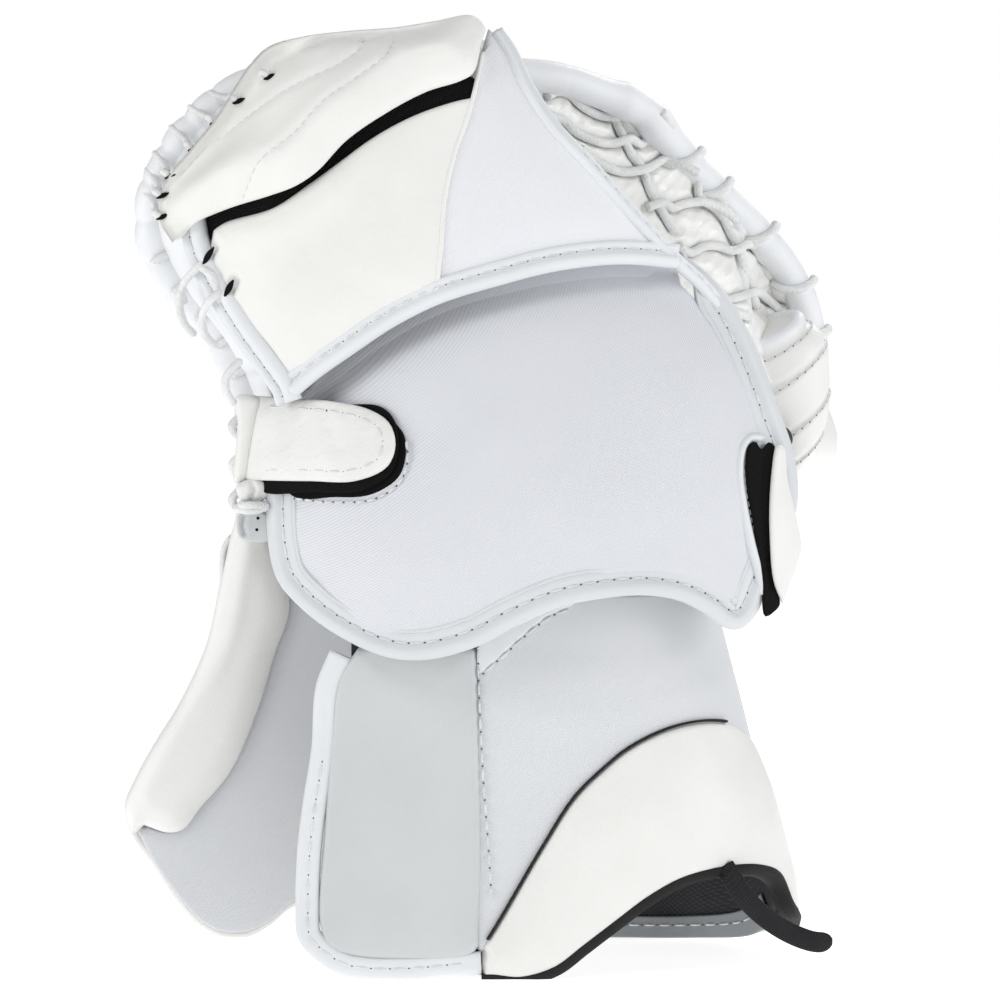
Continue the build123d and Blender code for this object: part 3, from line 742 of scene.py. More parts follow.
def pit(build, at, up, radius):
    """A needle hole, as a small dimple in a dark colour that is painted shade."""
    side = np.cross(up, [0.31, 0.2, 0.93])
    side = side / np.linalg.norm(side)
    other = np.cross(up, side)
    ring = [at + up * 0.04 + radius * (math.cos(a) * side + math.sin(a) * other) for a in circle(8)]
    points = ring + [at + up * 0.16]
    build.add(points, [(j, (j + 1) % 8, 8) for j in range(8)] + [tuple(range(8))[::-1]])


def sewn(name, body, lines, with_holes=True, **how):
    """Stitch rows as one piece, with their needle holes, dark dots of painted shade, as another."""
    thread, holes = Build(), Build()
    for path, normal in lines:
        stitches(thread, holes if with_holes else None, path, normal, **how)
    thread.make(name, body, THREAD)
    if with_holes:
        holes.make(name + "_holes", body, HOLE_SHADE)


def traced(line, surface, across=0.0, lift=0.0):
    """A line on a surface as 3-D points and their outward directions."""
    uv = line + side_of(line, False) * across
    return surface.at(uv, lift), surface.normal(uv)


def loft(rows, across):
    """A smooth grid of points across several curves with the same number of points."""
    rows = np.asarray(rows, float)
    return np.stack([curve(rows[:, i], count=across) for i in range(rows.shape[1])], axis=0)


def shell(name, body, look, grid, thickness, nodes=()):
    """A sheet with a thickness, from a grid of points; it grows on its inner side."""
    build = Build()
    rows, columns = grid.shape[:2]
    build.add(grid.reshape(-1, 3), grid_faces(rows, columns))
    piece = build.make(name, body, look, nodes)
    thick = piece.modifiers.new("thickness", "SOLIDIFY")
    thick.thickness = thickness * MM
    thick.offset = -1


def inset(edge, depth):
    """A closed outline moved inward."""
    edge = np.asarray(edge, float)
    ring = edge + side_of(edge, True) * depth * (1 if leftward(edge) else -1)
    ring = ring[away(ring, edge, True) > 0.9 * abs(depth)]
    return resample(ring, 1.8, True)


def ripples(*lines):
    """A relief of soft folds: each is (line, height, width)."""
    prepared = [(curve(points, 3.0), height, width) for points, height, width in lines]

    def relief(uv, inside):
        total = np.zeros(len(uv))
        for line, height, width in prepared:
            total += height * bell(away(uv, line), width)
        return total

    return relief


def roll_profile(width, roll, top, foot, lift=0.0):
    """The section of a sewn binding: a round roll at the edge, a stitched groove and a flat inner band."""
    groove = roll + 0.6
    shape = [(0.6, foot), (-0.9, foot * 0.6), (-1.5, 0.1 * top), (-1.2, 0.55 * top), (0.1, 0.88 * top),
             (0.45 * roll, top), (0.75 * roll, 0.86 * top), (roll - 0.3, 0.5 * top), (groove, 0.28 * top),
             (groove + 0.8, 0.45 * top), (groove + 0.45 * (width - groove), 0.5 * top),
             (width - 1.0, 0.5 * top),
             (width - 0.2, 0.3 * top), (width, foot * 0.4), (width - 0.6, foot)]
    return [(across, height + lift) for across, height in shape]


# ---------------------------------------------------------------- back of the hand

seam_line = [(-52.7, 293), (-50.5, 316), (-49, 335), (-45, 353), (-40.5, 366), (-37, 378), (-33, 397)]
lower_line = [(-114, 251), (-103, 260), (-90, 269), (-72, 281), (-52, 291), (-26, 299), (-2, 305), (25, 308),
              (50, 306.5)]
leather_top = [(-37, 378), (-46, 376), (-63, 370), (-79, 361.5), (-95, 350), (-109, 340), (-123, 331),
               (-144, 325), (-150, 321)]
leather_left = [(-152, 315), (-147, 303), (-141, 293), (-133, 281), (-123, 269), (-116, 258), (-114, 251)]
nylon_right = [(-31, 409), (-24, 402), (-18, 389), (-11, 375), (0, 361), (12, 349), (27, 331), (41, 315),
               (50, 306.5)]
right_piping = [(-27, 407), (-21, 398), (-14, 383), (-3, 366), (12, 350), (28, 332), (43, 316), (52, 307),
                (60, 300), (72, 286), (82, 273), (90, 255)]


def back_of_hand():
    seam = curve(seam_line)
    lower = curve(lower_line)
    top = curve(leather_top)
    left = curve(leather_left)
    shared = seam[seam[:, 1] <= 378.5]
    leather_edge = np.vstack([shared, top[1:], left[1:-1], lower[lower[:, 0] < -53.5]])
    folds = ripples(([(-146, 318), (-122, 322), (-100, 334), (-84, 350)], 1.6, 6),
                    ([(-140, 296), (-118, 306), (-98, 324)], -0.7, 8),
                    ([(-112, 256), (-88, 276), (-60, 291)], -0.8, 7))
    slots = [(curve(line, 1.0), 2.2, 1.5) for line in BACK_SLOTS]
    panel("back_hand_leather_panel", "root", WARM, leather_edge, BACK, -3.0, 1.5, 2.4, 1.8, 26,
          relief=folds, seams=slots, nodes=["back_hand_leather"])
    right = curve(nylon_right)
    nylon_edge = np.vstack([seam + [-1.5, 0], right[:-1], lower[lower[:, 0] > -52.0][::-1]])
    panel("back_hand_nylon_panel", "root", TWILL, nylon_edge, BACK, -3.0, 0.2, 1.6, 1.6, 24,
          relief=ripples(([(-46, 300), (-10, 312), (30, 316)], -0.9, 8)), nodes=["back_hand_nylon"])
    # A narrow overlap hides the raw edge of the nylon under the leather.
    bound("seam_fold", "root", WARM, seam, BACK,
          [(-0.7, 0.2), (-0.7, 1.3), (0.3, 1.75), (1.3, 1.5), (1.3, 0.2)])

    bound("back_lower_binding", "root", TAPE, lower, BACK, roll_profile(9.0, 4.6, 3.6, -3.0),
          ["back_hand_binding"])
    sewn("back_lower_stitches", "root", [traced(lower[2:-2], BACK, 5.6, 1.25)])

    # The bound strip down the little-finger edge of the panel.
    edge = curve([(-156, 330), (-154.5, 322), (-152, 313), (-146, 301), (-139, 290), (-131, 278),
                  (-122, 266), (-115, 256), (-112.5, 249)])[::-1]
    bound("back_side_binding", "root", TAPE, edge, BACK, roll_profile(10.0, 5.4, 4.6, -3.0, -1.2))
    sewn("back_side_stitches", "root", [traced(edge[2:-2], BACK, 6.2, 0.25)])

    piping = curve(right_piping)
    bound("back_right_binding", "root", TAPE, piping, BACK,
          [(-2.8, -2.5), (-3.2, 0.4), (-2.2, 1.9), (-0.4, 2.3), (0.7, 1.2), (1.5, 1.5), (2.3, 1.1),
           (2.4, -1.5), (1.5, -2.8)])
    sewn("back_right_stitches", "root", [traced(piping[40:-2], BACK, 0.9, 1.1)], pitch=6.4, length=4.4)

    # Slots where the side lace comes through, drawn black as painted shade, and the lace itself.
    pits = Build()
    for line in BACK_SLOTS:
        path = BACK.at(curve(line, 0.8), 3.2)
        size = 1.5 * np.sin(np.linspace(0.25, math.pi - 0.25, len(path)))
        tube(pits, path, size, 8, up=BACK.normal(curve(line, 0.8)), flat_by=0.5)
    pits.make("lace_slot_shade", "root", HOOK)
    laces = Build()
    for points in BACK_LACES:
        cord(laces, [BACK.at([(x, z)], h)[0] for x, z, h in points], 1.75)
    laces.make("side_lace_loops", "root", LACE, ["side_lacing"])


BACK_SLOTS = [[(-147.5, 314), (-150, 310.5), (-152.5, 306.5)], [(-139, 300), (-141, 296.5), (-143, 293)]]
BACK_LACES = [
    [(-152, 309, 0.5), (-155, 305, 3.5), (-159.5, 300.5, 3.5), (-163, 296, 1.5), (-165, 290, -4)],
    [(-163, 297, 2), (-164.5, 289, 0.5), (-163, 281, -1), (-160.5, 276, -5)],
    [(-154, 306, 2.5), (-148.5, 302, 4.0), (-146.5, 296, 2.5), (-147, 290, -1)],
    [(-143.5, 296, 0.5), (-147, 293, 4), (-151, 288.5, 4), (-153.5, 283, 2), (-153, 276, 0), (-150, 271, -4)],
    [(-136.5, 266, 1), (-140, 262, 3), (-143, 257.5, 2.5), (-143, 251, 1), (-141, 246, -2)],
]


# ---------------------------------------------------------------- finger cover

cover_top = [(-34, 399), (-32.5, 405), (-38, 410), (-54, 407.5), (-70, 405), (-92, 403.5), (-110, 401.5),
             (-124, 397.5), (-132, 389.5), (-146, 367.5), (-156, 355.5), (-166, 343.5), (-170, 334),
             (-170, 326), (-164, 316)]
cover_free = [(-164, 316), (-155, 323.5), (-146, 327.5), (-136, 331), (-122, 335), (-111, 339), (-102, 345),
              (-90, 357.5), (-74, 368.5), (-57, 377.5), (-43, 382), (-37.5, 385.5), (-34, 399)]
cover_seams = [[(-86, 404), (-83, 396), (-91, 388), (-106, 381), (-135, 367), (-151, 358), (-163, 345)],
               [(-70, 404), (-72, 391), (-82, 382), (-98, 371), (-109, 359), (-123, 348), (-129, 339),
                (-133, 333)],
               [(-126, 387), (-122, 392.5), (-117, 396), (-101, 397.5), (-98, 400), (-91, 400.5),
                (-85, 398.5), (-74, 401)]]
cover_holes = [(-123, 385), (-138, 376.5), (-147.5, 367.5), (-157, 356.5), (-166, 344.5), (-169, 336),
               (-169, 327)]


def finger_cover():
    edge = np.vstack([curve(cover_top)[:-1], curve(cover_free)[:-1]])
    laced = curve([(-124, 399), (-132, 390), (-146, 368), (-156, 356), (-166, 344), (-171, 334),
                   (-170, 322)], 2)
    free = curve(cover_free, 2)

    def shape(uv, inside):
        """The pad drops towards its lace and the fingertips, and swells along its free edge."""
        drop = -9.0 * (1 - smooth_step(away(uv, laced) / 24))
        swell = 4.0 * bell(away(uv, free) - 13, 9)
        top = -5.0 * smooth_step((uv[:, 1] - 392) / 18)
        return drop + swell + top

    def sole(uv, inside):
        return 0.85 * (-9.0 * (1 - smooth_step(away(uv, laced) / 24)))

    low, high, round_edge, crown, reach = 4.2, 9.0, 4.2, 3.2, 22
    panel("finger_cover_pad", "finger_cover", WARM, edge, BACK, low, high, round_edge, crown, reach,
          seams=[(curve(points, 1.5), 0.75, 1.1) for points in cover_seams], relief=shape, under=sole,
          nodes=["finger_cover_leather"])

    def height(line):
        """How far the pad's upper face stands off the back of the hand."""
        inside = away(line, edge, True)
        rise = (shape(line, inside) + (high - low) / 2) * rounded(inside, round_edge)
        return (low + high) / 2 + rise + crowned(inside, crown, reach)

    lines = [curve(points, 1.5) for points in cover_seams]
    threads = [(BACK.at(line, height(line) - 0.75), BACK.normal(line)) for line in lines]
    sewn("cover_seam_thread", "finger_cover", threads, pitch=4.2, length=3.1, thick=0.3, with_holes=False)

    inner = inset(edge, 5.0)
    inner = inner[away(inner, laced) > 15]
    panel("finger_cover_lining_sheet", "finger_cover", BLACK_MESH, inner, BACK, 2.6, 3.7, 0.5,
          nodes=["finger_cover_lining"], pitch=4)

    # Black mesh that shows in the gap under the free edge.
    gap = curve([(-36, 388), (-50, 386), (-76, 376), (-98, 360), (-112, 347), (-150, 335), (-157, 322),
                 (-150, 317), (-122, 324), (-108, 332), (-94, 343), (-78, 355), (-62, 364),
                 (-40, 370)], 2.0, True)
    panel("gap_lining", "root", BLACK_MESH, gap, BACK, -4.2, -3.2, 0.5, pitch=4)

    holes, laces = Build(), Build()
    for x, z in cover_holes:
        place = np.array([(x, z)], float)
        up = BACK.normal(place)
        at = BACK.at(place, height(place)) + up * 0.5
        # Each lace hole is a flat black disc of painted shade.
        tube(holes, np.vstack([at + [d, 0, d * 0.45] for d in (-2.8, -1.4, 0, 1.4, 2.8)]),
             [0.3, 1.4, 1.8, 1.4, 0.3], 8, flat_by=0.6)
        root = ROLL_LINE[np.argmin(np.linalg.norm(ROLL_LINE[:, [0, 2]] - [x - 12, z + 9], axis=1))]
        out = unit([root[0] - x, 0, root[2] - z])
        start = at[0] + [-0.8, 0, 0.5]
        brow = (start + root) / 2 + [0, -6.0, 0]
        over = root + out * 7.9 + [0, -2, 0]
        back = root + out * 5.0 + [0, 8.0, 0]
        bend = root + out * 2.5 + [0, -8.0, 0]
        cord(laces, [start + [0.8, 1.0, -0.6], start + up[0] * 1.3 - [1.8, 0, -1], brow, bend, over, back],
             1.4)
    holes.make("cover_lace_hole_shade", "finger_cover", HOOK)
    laces.make("cover_laces", "root", LACE, ["perimeter_lacing"])


# ---------------------------------------------------------------- rim of the fingers

roll_step = 1.2
rim_lace_pitch = 15.5
ROLL_LINE = curve([(-136.5, 10, 186), (-134, 6, 205), (-133.5, 4, 224), (-137, 1, 248), (-149, -3, 275),
                   (-167, -9, 298), (-177.5, -13, 318), (-177, -15, 338), (-164.5, -18, 361),
                   (-146.5, -19.5, 378.5), (-124, -19.5, 390), (-78, -17, 396), (-30, -16, 397)], roll_step)


def finger_rim():
    """A padded roll round the little-finger side and the fingertips, pinched where each lace crosses."""
    gone = np.arange(len(ROLL_LINE)) * roll_step
    pinch = np.abs(np.sin(math.pi * gone / rim_lace_pitch)) ** 0.45
    radius = 7.0 + 1.6 * pinch + 0.25 * np.sin(gone / 3.7)
    build = Build()
    tube(build, ROLL_LINE, radius, 20, up=np.tile([0.0, -1.0, 0.0], (len(ROLL_LINE), 1)), flat_by=0.92)
    build.make("finger_rim_roll", "root", COOL, ["finger_perimeter_roll"])
    laces = Build()
    for k in range(4, int(gone[-1] / rim_lace_pitch)):
        i = int(k * rim_lace_pitch / roll_step)
        # Only the stretch below the finger cover, which has laces of its own.
        if 190 < ROLL_LINE[i][2] < 318 and i + 2 < len(ROLL_LINE) and ROLL_LINE[i][0] < -120:
            around(laces, ROLL_LINE[i], ROLL_LINE[i + 1] - ROLL_LINE[i - 1], (0, -1, 0.15), -40, 215, 8.4)
    laces.make("rim_laces", "root", LACE)


def around(build, centre, direction, start, first, last, radius, thick=1.7, lean=0.0):
    """A lace round part of a roll, between two angles about the roll's direction."""
    run = unit(direction)
    a = unit(start - run * np.dot(start, run))
    b = np.cross(run, a)
    angles = np.radians(np.linspace(first, last, 22))
    path = [centre + radius * (math.cos(t) * a + math.sin(t) * b) + run * lean * (t - angles[0])
            for t in angles]
    size = np.full(len(path), thick)
    size[0] = size[-1] = 0.4 * thick
    tube(build, np.array(path), size, 10)


# ---------------------------------------------------------------- palm

palm_lean = math.radians(8.0)
PALM = tilted((0, 44 + 170 * math.tan(palm_lean), 0), (1, 0, 0), (0, -math.tan(palm_lean), 1), -1)
palm_edge = [(-138, 187), (-135, 240), (-141, 260), (-160, 288), (-178, 316), (-177, 340), (-158, 366),
             (-126, 389), (-90, 398), (-60, 401), (-38, 401), (-14, 374), (10, 343), (36, 308), (60, 268),
             (76, 230), (84, 190), (40, 186), (-40, 184), (-100, 185)]


def palm():
    edge = curve(palm_edge, 2.2, True)
    breaks = [[(-120, 200), (-100, 250), (-96, 310), (-110, 375)],
              [(-75, 195), (-62, 250), (-60, 320), (-72, 392)],
              [(-30, 192), (-20, 240), (-22, 300), (-34, 380)], [(20, 192), (24, 230), (16, 280), (4, 330)]]
    panel("palm_face_leather", "root", CATCH, edge, PALM, -7.6, 0.5, 4.0, 5.0, 40,
          seams=[(curve(points, 2), 2.0, 2.4) for points in breaks], nodes=["palm_face_pad"], pitch=3.0)
    panel("palm_foam_layer", "root", FOAM, inset(edge, 6), PALM, -15.6, -8.2, 1.5, pitch=5,
          nodes=["palm_foam_core"])
    lines = [traced(curve(points, 2)[3:-3], PALM, 0.0, 3.2) for points in breaks]
    sewn("palm_break_stitches", "root", lines, pitch=6.5, length=4.6)


# ---------------------------------------------------------------- cuff

wrist_top = [(-34, 12), (-26, 25), (-8, 56), (6, 78), (18, 90), (29, 99), (43, 106), (56, 109), (69, 108.5),
             (79, 104)]
arch = [(-34, 0.5), (-29, 0.5), (-17, -0.5), (-2, 4), (10, 13), (23, 23), (39, 35), (53, 42.5), (71, 46),
        (87, 44.5), (97, 38)]
far_side_top = [(117, 92), (135, 78), (158, 62), (185, 40), (212, 14)]
far_side_foot = [(124, 25), (140, 19), (158, 13), (180, 7), (204, 2)]
lining_radius = cuff_radius - 8.3


def cuff():
    top_line = curve(unrolled(wrist_top) + far_side_top, 1.8)
    foot_line = curve(unrolled(arch) + far_side_foot, 1.8)
    edge = np.vstack([top_line, foot_line[::-1]])
    panel("cuff_wrist_leather_wrap", "root", WARM, edge, CUFF, -5.7, 1.6, 2.6, 2.6, 20,
          relief=ripples(([(0, 40), (30, 66), (70, 78), (104, 70)], 1.2, 14)), nodes=["cuff_wrist_leather"])

    # The nylon wrap reaches under the flap and round to the far wall.
    wrap = np.vstack([curve([(-36, 12), (-36, 80), (-36, 139), (-36, 164)], 3),
                      curve([(-30, 165), (60, 165), (150, 165), (252, 165)], 3),
                      curve([(255, 160), (246, 90), (238, 1)], 3),
                      (foot_line[foot_line[:, 0] > 150] + [0, 0.2])[::-1],
                      (top_line[top_line[:, 0] < 150] + [0, -1.5])[::-1]])
    creases = ripples(([(-30, 118), (10, 112), (48, 118), (90, 128)], 0.5, 7),
                      ([(-20, 146), (20, 140), (60, 146)], -0.6, 8))
    # The nylon here is darkened as painted shade.
    panel("cuff_nylon_sheet", "root", TWILL_SHADED, wrap, CUFF, -5.2, 0.0, 1.2, 0.6, 20, relief=creases,
          nodes=["cuff_nylon_wrap", "cuff_palm_wrap"])
    fold = curve([(-35, 131), (-25, 140), (-6, 156), (6, 161)])
    wedge = np.vstack([fold, curve([(6, 163.5), (-35, 163.5)]), curve([(-36, 162), (-36, 132)])])
    panel("cuff_seam_wedge", "root", COOL, wedge, CUFF, -0.5, 0.9, 0.6)
    sewn("cuff_wedge_thread", "root", [traced(fold[1:-1], CUFF, -1.0, 0.5)], pitch=7.1, length=4.6)
    dotted = curve([(-35.5, 143), (-35, 123), (-33, 83), (-31, 57), (-29.5, 33)])
    sewn("cuff_panel_seam", "root", [traced(dotted, CUFF, 0.0, 1.2)], pitch=7.1, length=4.9)

    bound("cuff_arch_trim", "root", TRIM, foot_line[foot_line[:, 0] < 160], CUFF,
          [(1.2, 1.3), (-1.3, 1.8), (-3.2, 0.6), (-3.6, -3.0), (-2.6, -6.2), (0.8, -6.4)], ["cuff_edge_trim"])
    bound("cuff_leather_edge", "root", TRIM, top_line[3:len(top_line) // 2], CUFF,
          [(-0.2, 0.2), (-0.2, 1.7), (0.35, 2.0), (0.9, 1.4), (0.9, 0.2)])

    def foot_at(u):
        """The height of the wall's foot along the unrolled wall."""
        return np.interp(u, foot_line[:, 0], foot_line[:, 1], left=0, right=0)

    part, v = (a.ravel() for a in np.meshgrid(np.linspace(0, 1, 120), np.linspace(3, 155, 40), indexing="ij"))
    u = -90 + part * (2 * cuff_centre(v) + 320)
    lining = cuff_place(u, foot_at(u) + 4 + (151 - foot_at(u)) * (v - 3) / 152, lining_radius)
    shell("cuff_inner_lining", "root", LINER, lining.reshape(120, 40, 3)[:, ::-1], -2.0, ["cuff_lining"])
    u, v = np.meshgrid(np.linspace(-60, 8, 40), np.linspace(4, 154, 40), indexing="ij")
    far = np.stack([u, np.full_like(u, 45.0), v], axis=2)
    # The nylon here is darkened as painted shade.
    shell("cuff_far_lining", "root", TWILL_SHADED, far, -2.0, ["cuff_palm_lining"])
    # A band stitched round the inside of the far wall's foot, its grey-white leather darkened as painted
    # shade.
    foot_band = Surface(lambda s, z: cuff_place(s, z, lining_radius), -1)
    band_edge = np.vstack([curve([(160, 13), (190, 4), (225, 1), (262, 1), (300, 2)], 2),
                           curve([(300, 11), (262, 11), (225, 11), (190, 15), (160, 26)], 2)])
    panel("cuff_foot_band", "root", GREYER_SHADED, band_edge, foot_band, 0.2, 1.8, 0.8, pitch=2.5)
    line = curve([(170, 17), (190, 10.5), (225, 7), (262, 7), (296, 7)])
    sewn("cuff_foot_stitches", "root", [traced(line, foot_band, 0.0, 1.9)], pitch=7.0, length=4.6)
    ribs = Build()
    for k in range(11):
        spot = 128 + 2.6 * k
        path = cuff_place(np.full(20, spot), np.linspace(20 - 0.6 * k, 46 - 0.8 * k, 20), cuff_radius - 6.0)
        tube(ribs, path, 1.5, 8)
    ribs.make("cuff_rib_knit", "root", LINER)
    u, v = (a.ravel() for a in np.meshgrid(np.linspace(-86, 160, 90), np.linspace(0, 1, 30), indexing="ij"))
    low = np.maximum(30, foot_at(u) + 9)
    board = cuff_place(u, low + (134 - low) * v, cuff_radius - 6.2)
    shell("cuff_board", "root", BOARD, board.reshape(90, 30, 3)[:, ::-1], -1.6, ["cuff_stiffener"])


# ---------------------------------------------------------------- flat panel and wing

flat_outer = [(-98, 141), (-104, 126), (-106, 99), (-109.5, 77), (-112, 57), (-113, 31), (-112, 17),
              (-104, 8), (-94, 2), (-83, 0), (-63, 0), (-47, 1.5), (-34, 2)]
flat_inner = [(-86, 143), (-94.5, 130), (-98, 104), (-101, 62), (-103, 24), (-99, 14), (-89, 10), (-68, 8.5),
              (-41, 9), (-36, 12)]


def flat_panel():
    plate = flat(-66.5)
    outer = curve(flat_outer)
    inner = curve(flat_inner)
    pad_edge = np.vstack([inner + [-0.6, -0.4], curve([(-35, 14), (-34, 60), (-36, 142)]),
                          curve([(-40, 143), (-82, 143)])])
    # The pad's grey leather is darkened as painted shade.
    panel("cuff_flat_cushion", "root", GREY_SHADED, pad_edge, plate, -5.5, 1.6, 2.6, 1.8, 24,
          relief=ripples(([(-80, 20), (-84, 70), (-80, 130)], 0.5, 12)), nodes=["cuff_flat_pad"])
    bound("cuff_flat_border", "root", TAPE, outer, plate,
          [(1.4, -4.4), (-0.6, -4.2), (-1.1, -2.6), (-0.6, -0.2), (1.0, 0.9), (3.2, 1.1), (4.4, 0.75),
           (5.6, 1.0), (7.6, 0.9), (8.8, 0.1), (9.4, -1.5), (8.0, -4.4)], ["cuff_flat_binding"])
    sewn("cuff_flat_stitches", "root", [traced(outer[30:-4], plate, 4.4, 0.75)], pitch=8.0, length=5.6)


wing_edge = [(-149, 184), (-154, 160), (-160, 134), (-173, 106), (-183, 90), (-193, 72), (-197.5, 60),
             (-194, 47), (-185, 34), (-173, 16), (-163, 5.5), (-154, 0.8), (-142, 0.6), (-132, 6),
             (-120, 15), (-60, 18), (-20, 8), (0, 0.6), (36, 0.6), (70, 14), (84, 60), (62, 120), (50, 184)]
strip_inner = [(-131, 181), (-122, 153), (-129, 130), (-136, 107), (-149, 77), (-163, 60), (-171, 50),
               (-178, 48.5), (-189, 52)]


def wing():
    edge = curve(wing_edge, 2.0, True)
    panel("wing_board", "root", BOARD, inset(edge, 1.2), flat(52.4), -7.4, 0.0, 2.0, pitch=5,
          nodes=["cuff_front_plate"])
    panel("wing_catch_side_leather", "root", WARM, inset(edge, 0.6), flat(60.3, -1), 0.0, 2.6, 2.0, 0.4, 30,
          pitch=4, nodes=["cuff_front_leather"])
    inner_line = curve(strip_inner, 1.8)
    strip_edge = np.vstack([curve([(-146.5, 193)] + wing_edge[:8], 1.8), inner_line[::-1], [(-131, 193)]])
    # The strip's leather is brightened as painted light.
    panel("wing_edge_leather", "root", WING_LIT, strip_edge, flat(49.6), 0.1, 4.2, 3.4, 3.4, 12,
          relief=ripples(([(-141, 180), (-150, 135), (-172, 98), (-188, 66)], 0.9, 3.0)),
          nodes=["wing_edge_strip"])
    nylon_edge = np.vstack([inner_line[:-1] + [-1.5, 0],
                            curve([(-193, 50), (-185, 35), (-172, 16.5), (-162, 6.5), (-154, 2.5),
                                   (-142, 2.5), (-131, 8), (-119, 17), (-60, 20), (-58, 24)], 1.8),
                            curve([(-58, 28), (-58, 176)], 3), curve([(-62, 180), (-126, 180)], 3)])
    # The nylon here is darkened as painted shade.
    panel("wing_nylon_face", "root", TWILL_SHADED, nylon_edge, flat(52.1), 0.2, 2.3, 1.4, 0.6, 20,
          nodes=["wing_nylon"])
    bound("wing_rim", "root", WARM, np.vstack([edge, edge[:1]]), flat(52.0),
          [(0.8, -7.8), (-0.6, -8.2), (-1.0, -4), (-0.8, 0.6), (0.6, 1.2), (2.2, 0.9), (2.2, -7.4)])
    heel = curve([(-112, 168), (-60, 167), (20, 167), (60, 168), (84, 177), (86, 199), (0, 200), (-110, 200),
                  (-114, 188)], 2.5, True)
    panel("heel_band", "root", WARM, heel, flat(42.6, -1), 0.0, 6.6, 3.0, pitch=4, nodes=["heel_leather"])
    roll = Build()
    line = curve([(-116, 33, 176), (-60, 33, 176), (20, 33, 176), (79, 33, 176)], 2)
    tube(roll, line, 7.4, 18)
    roll.make("palm_heel_cord", "root", WARM, ["palm_heel_roll"])


# ---------------------------------------------------------------- pocket and thumb

t_start, t_middle, t_end = (np.array(p, float) for p in ((-23, 2, 392), (93, 85, 325.5), (121, 146, 232)))
heel_point = np.array([96.0, 34, 187])


def arc_middle(a, b, c):
    """The middle of the arc from a through b to c."""
    ab, ac = b - a, c - a
    n = np.cross(ab, ac)
    centre = a + (np.cross(n, ab) * ac.dot(ac) + np.cross(ac, n) * ab.dot(ab)) / (2 * n.dot(n))
    first = unit(a - centre)
    second = np.cross(unit(n), first)
    total = math.atan2((c - centre).dot(second), (c - centre).dot(first)) % (2 * math.pi)
    turn = total / 2
    return centre + np.linalg.norm(a - centre) * (math.cos(turn) * first + math.sin(turn) * second)


spine_top = arc_middle(t_start, t_middle, t_end)
spine_run = spine_top - heel_point
lace_thick = 2.05
# The leather of the T sags a little from a true arc as it goes round.
T_LINE = curve([t_start, (0.7, 12.7, 390.2), (19.7, 23.5, 384.6), (37.1, 34.2, 378), (48.9, 45.2, 366.4),
                (60.8, 57, 353.3), (71.4, 66.5, 343.5), (83.5, 77.2, 332.8), (95.8, 88.5, 321.1),
                (106.9, 99.9, 308.2), (115.2, 110.4, 294.8), (119.1, 117.7, 284), (122.7, 127.3, 268.8),
                t_end], count=400)


FINGER_OUT = unit(np.cross(spine_top - heel_point, t_start - heel_point))
FINGER_OUT = FINGER_OUT * (-1 if FINGER_OUT[1] > 0 else 1)
THUMB_U = unit(t_end - heel_point)
THUMB_W = unit(np.cross(t_end - heel_point, spine_top - heel_point))
THUMB_V = np.cross(THUMB_W, THUMB_U)
THUMB_BACK = Surface(lambda u, v: heel_point + u[:, None] * THUMB_U + v[:, None] * THUMB_V)
THUMB_BACK.side = 1 if THUMB_BACK.normal(np.array([[60.0, 20.0]]))[0].dot(THUMB_W) > 0 else -1
THUMB_FACE = Surface(THUMB_BACK.place, -THUMB_BACK.side)


# Pairs of places along the T and how far the web's other edge has come down the palm.
web_pace = ([0, 0.2, 0.4, 0.5, 0.62, 0.745, 0.85, 0.93, 1], [0, 0.05, 0.15, 0.27, 0.40, 0.52, 0.68, 0.84, 1])
wall_normals = [np.cross(spine_run, t_start - heel_point), np.cross(t_end - heel_point, spine_run)]


def fold_depth(x, z):
    """The depth of the web: two walls that meet in a soft ridge, kept in front of the T."""
    near, far = (heel_point[1] - (n[0] * (x - heel_point[0]) + n[2] * (z - heel_point[2])) / n[1]
                 for n in wall_normals)
    ridge = (near + far + np.sqrt((near - far) ** 2 + 36)) / 2
    rim = np.interp(-np.asarray(z, float), -T_LINE[:, 2], T_LINE[:, 1]) - 1
    return (ridge + rim - np.sqrt((ridge - rim) ** 2 + 36)) / 2


WEB = Surface(lambda x, z: np.stack([x, fold_depth(x, z), z], axis=1))

# Laces of the web, seen from the back of the hand: two long ones and the rungs across them.
LONG_LACES = [
    [(19, 386), (21, 382), (25, 374), (28, 366), (33, 357), (37, 351), (40, 344), (43, 337), (48, 329),
     (52, 323)],
    [(47, 378), (51, 371), (52, 360), (59, 356), (63, 348), (64, 339), (71, 334), (76, 328), (81, 318),
     (84, 310), (88, 297), (92, 289)],
]
RUNGS = [
    [(-6, 382), (-1, 385), (4, 385), (8, 380), (14, 376), (21, 374), (26, 376), (31, 378), (38, 375),
     (44, 377)],
    [(-11, 375), (-4, 373), (2, 371), (6, 367), (12, 364), (19, 362), (25, 362), (31, 364), (36, 362),
     (42, 367), (48, 369)],
    [(9, 359), (14, 355), (21, 351), (28, 349), (37, 350), (43, 353), (48, 356), (53, 357), (59, 355),
     (64, 352)],
    [(39, 333), (45, 335), (50, 333), (56, 335), (62, 336), (68, 335), (74, 332), (82, 327)],
    [(54, 316), (59, 313), (66, 316), (73, 316), (79, 314), (84, 317), (90, 317), (95, 313), (101, 310)],
    [(63, 303), (67, 299), (72, 295), (76, 292), (82, 293), (88, 295), (95, 293), (100, 291), (108, 289)],
    [(70, 291), (75, 288), (80, 286), (86, 284)],
]
# Heights at which a lace goes round the T.
WRAPS = [(363, 4), (348.5, 4), (328.5, 4), (306.5, 4), (285, 3)]


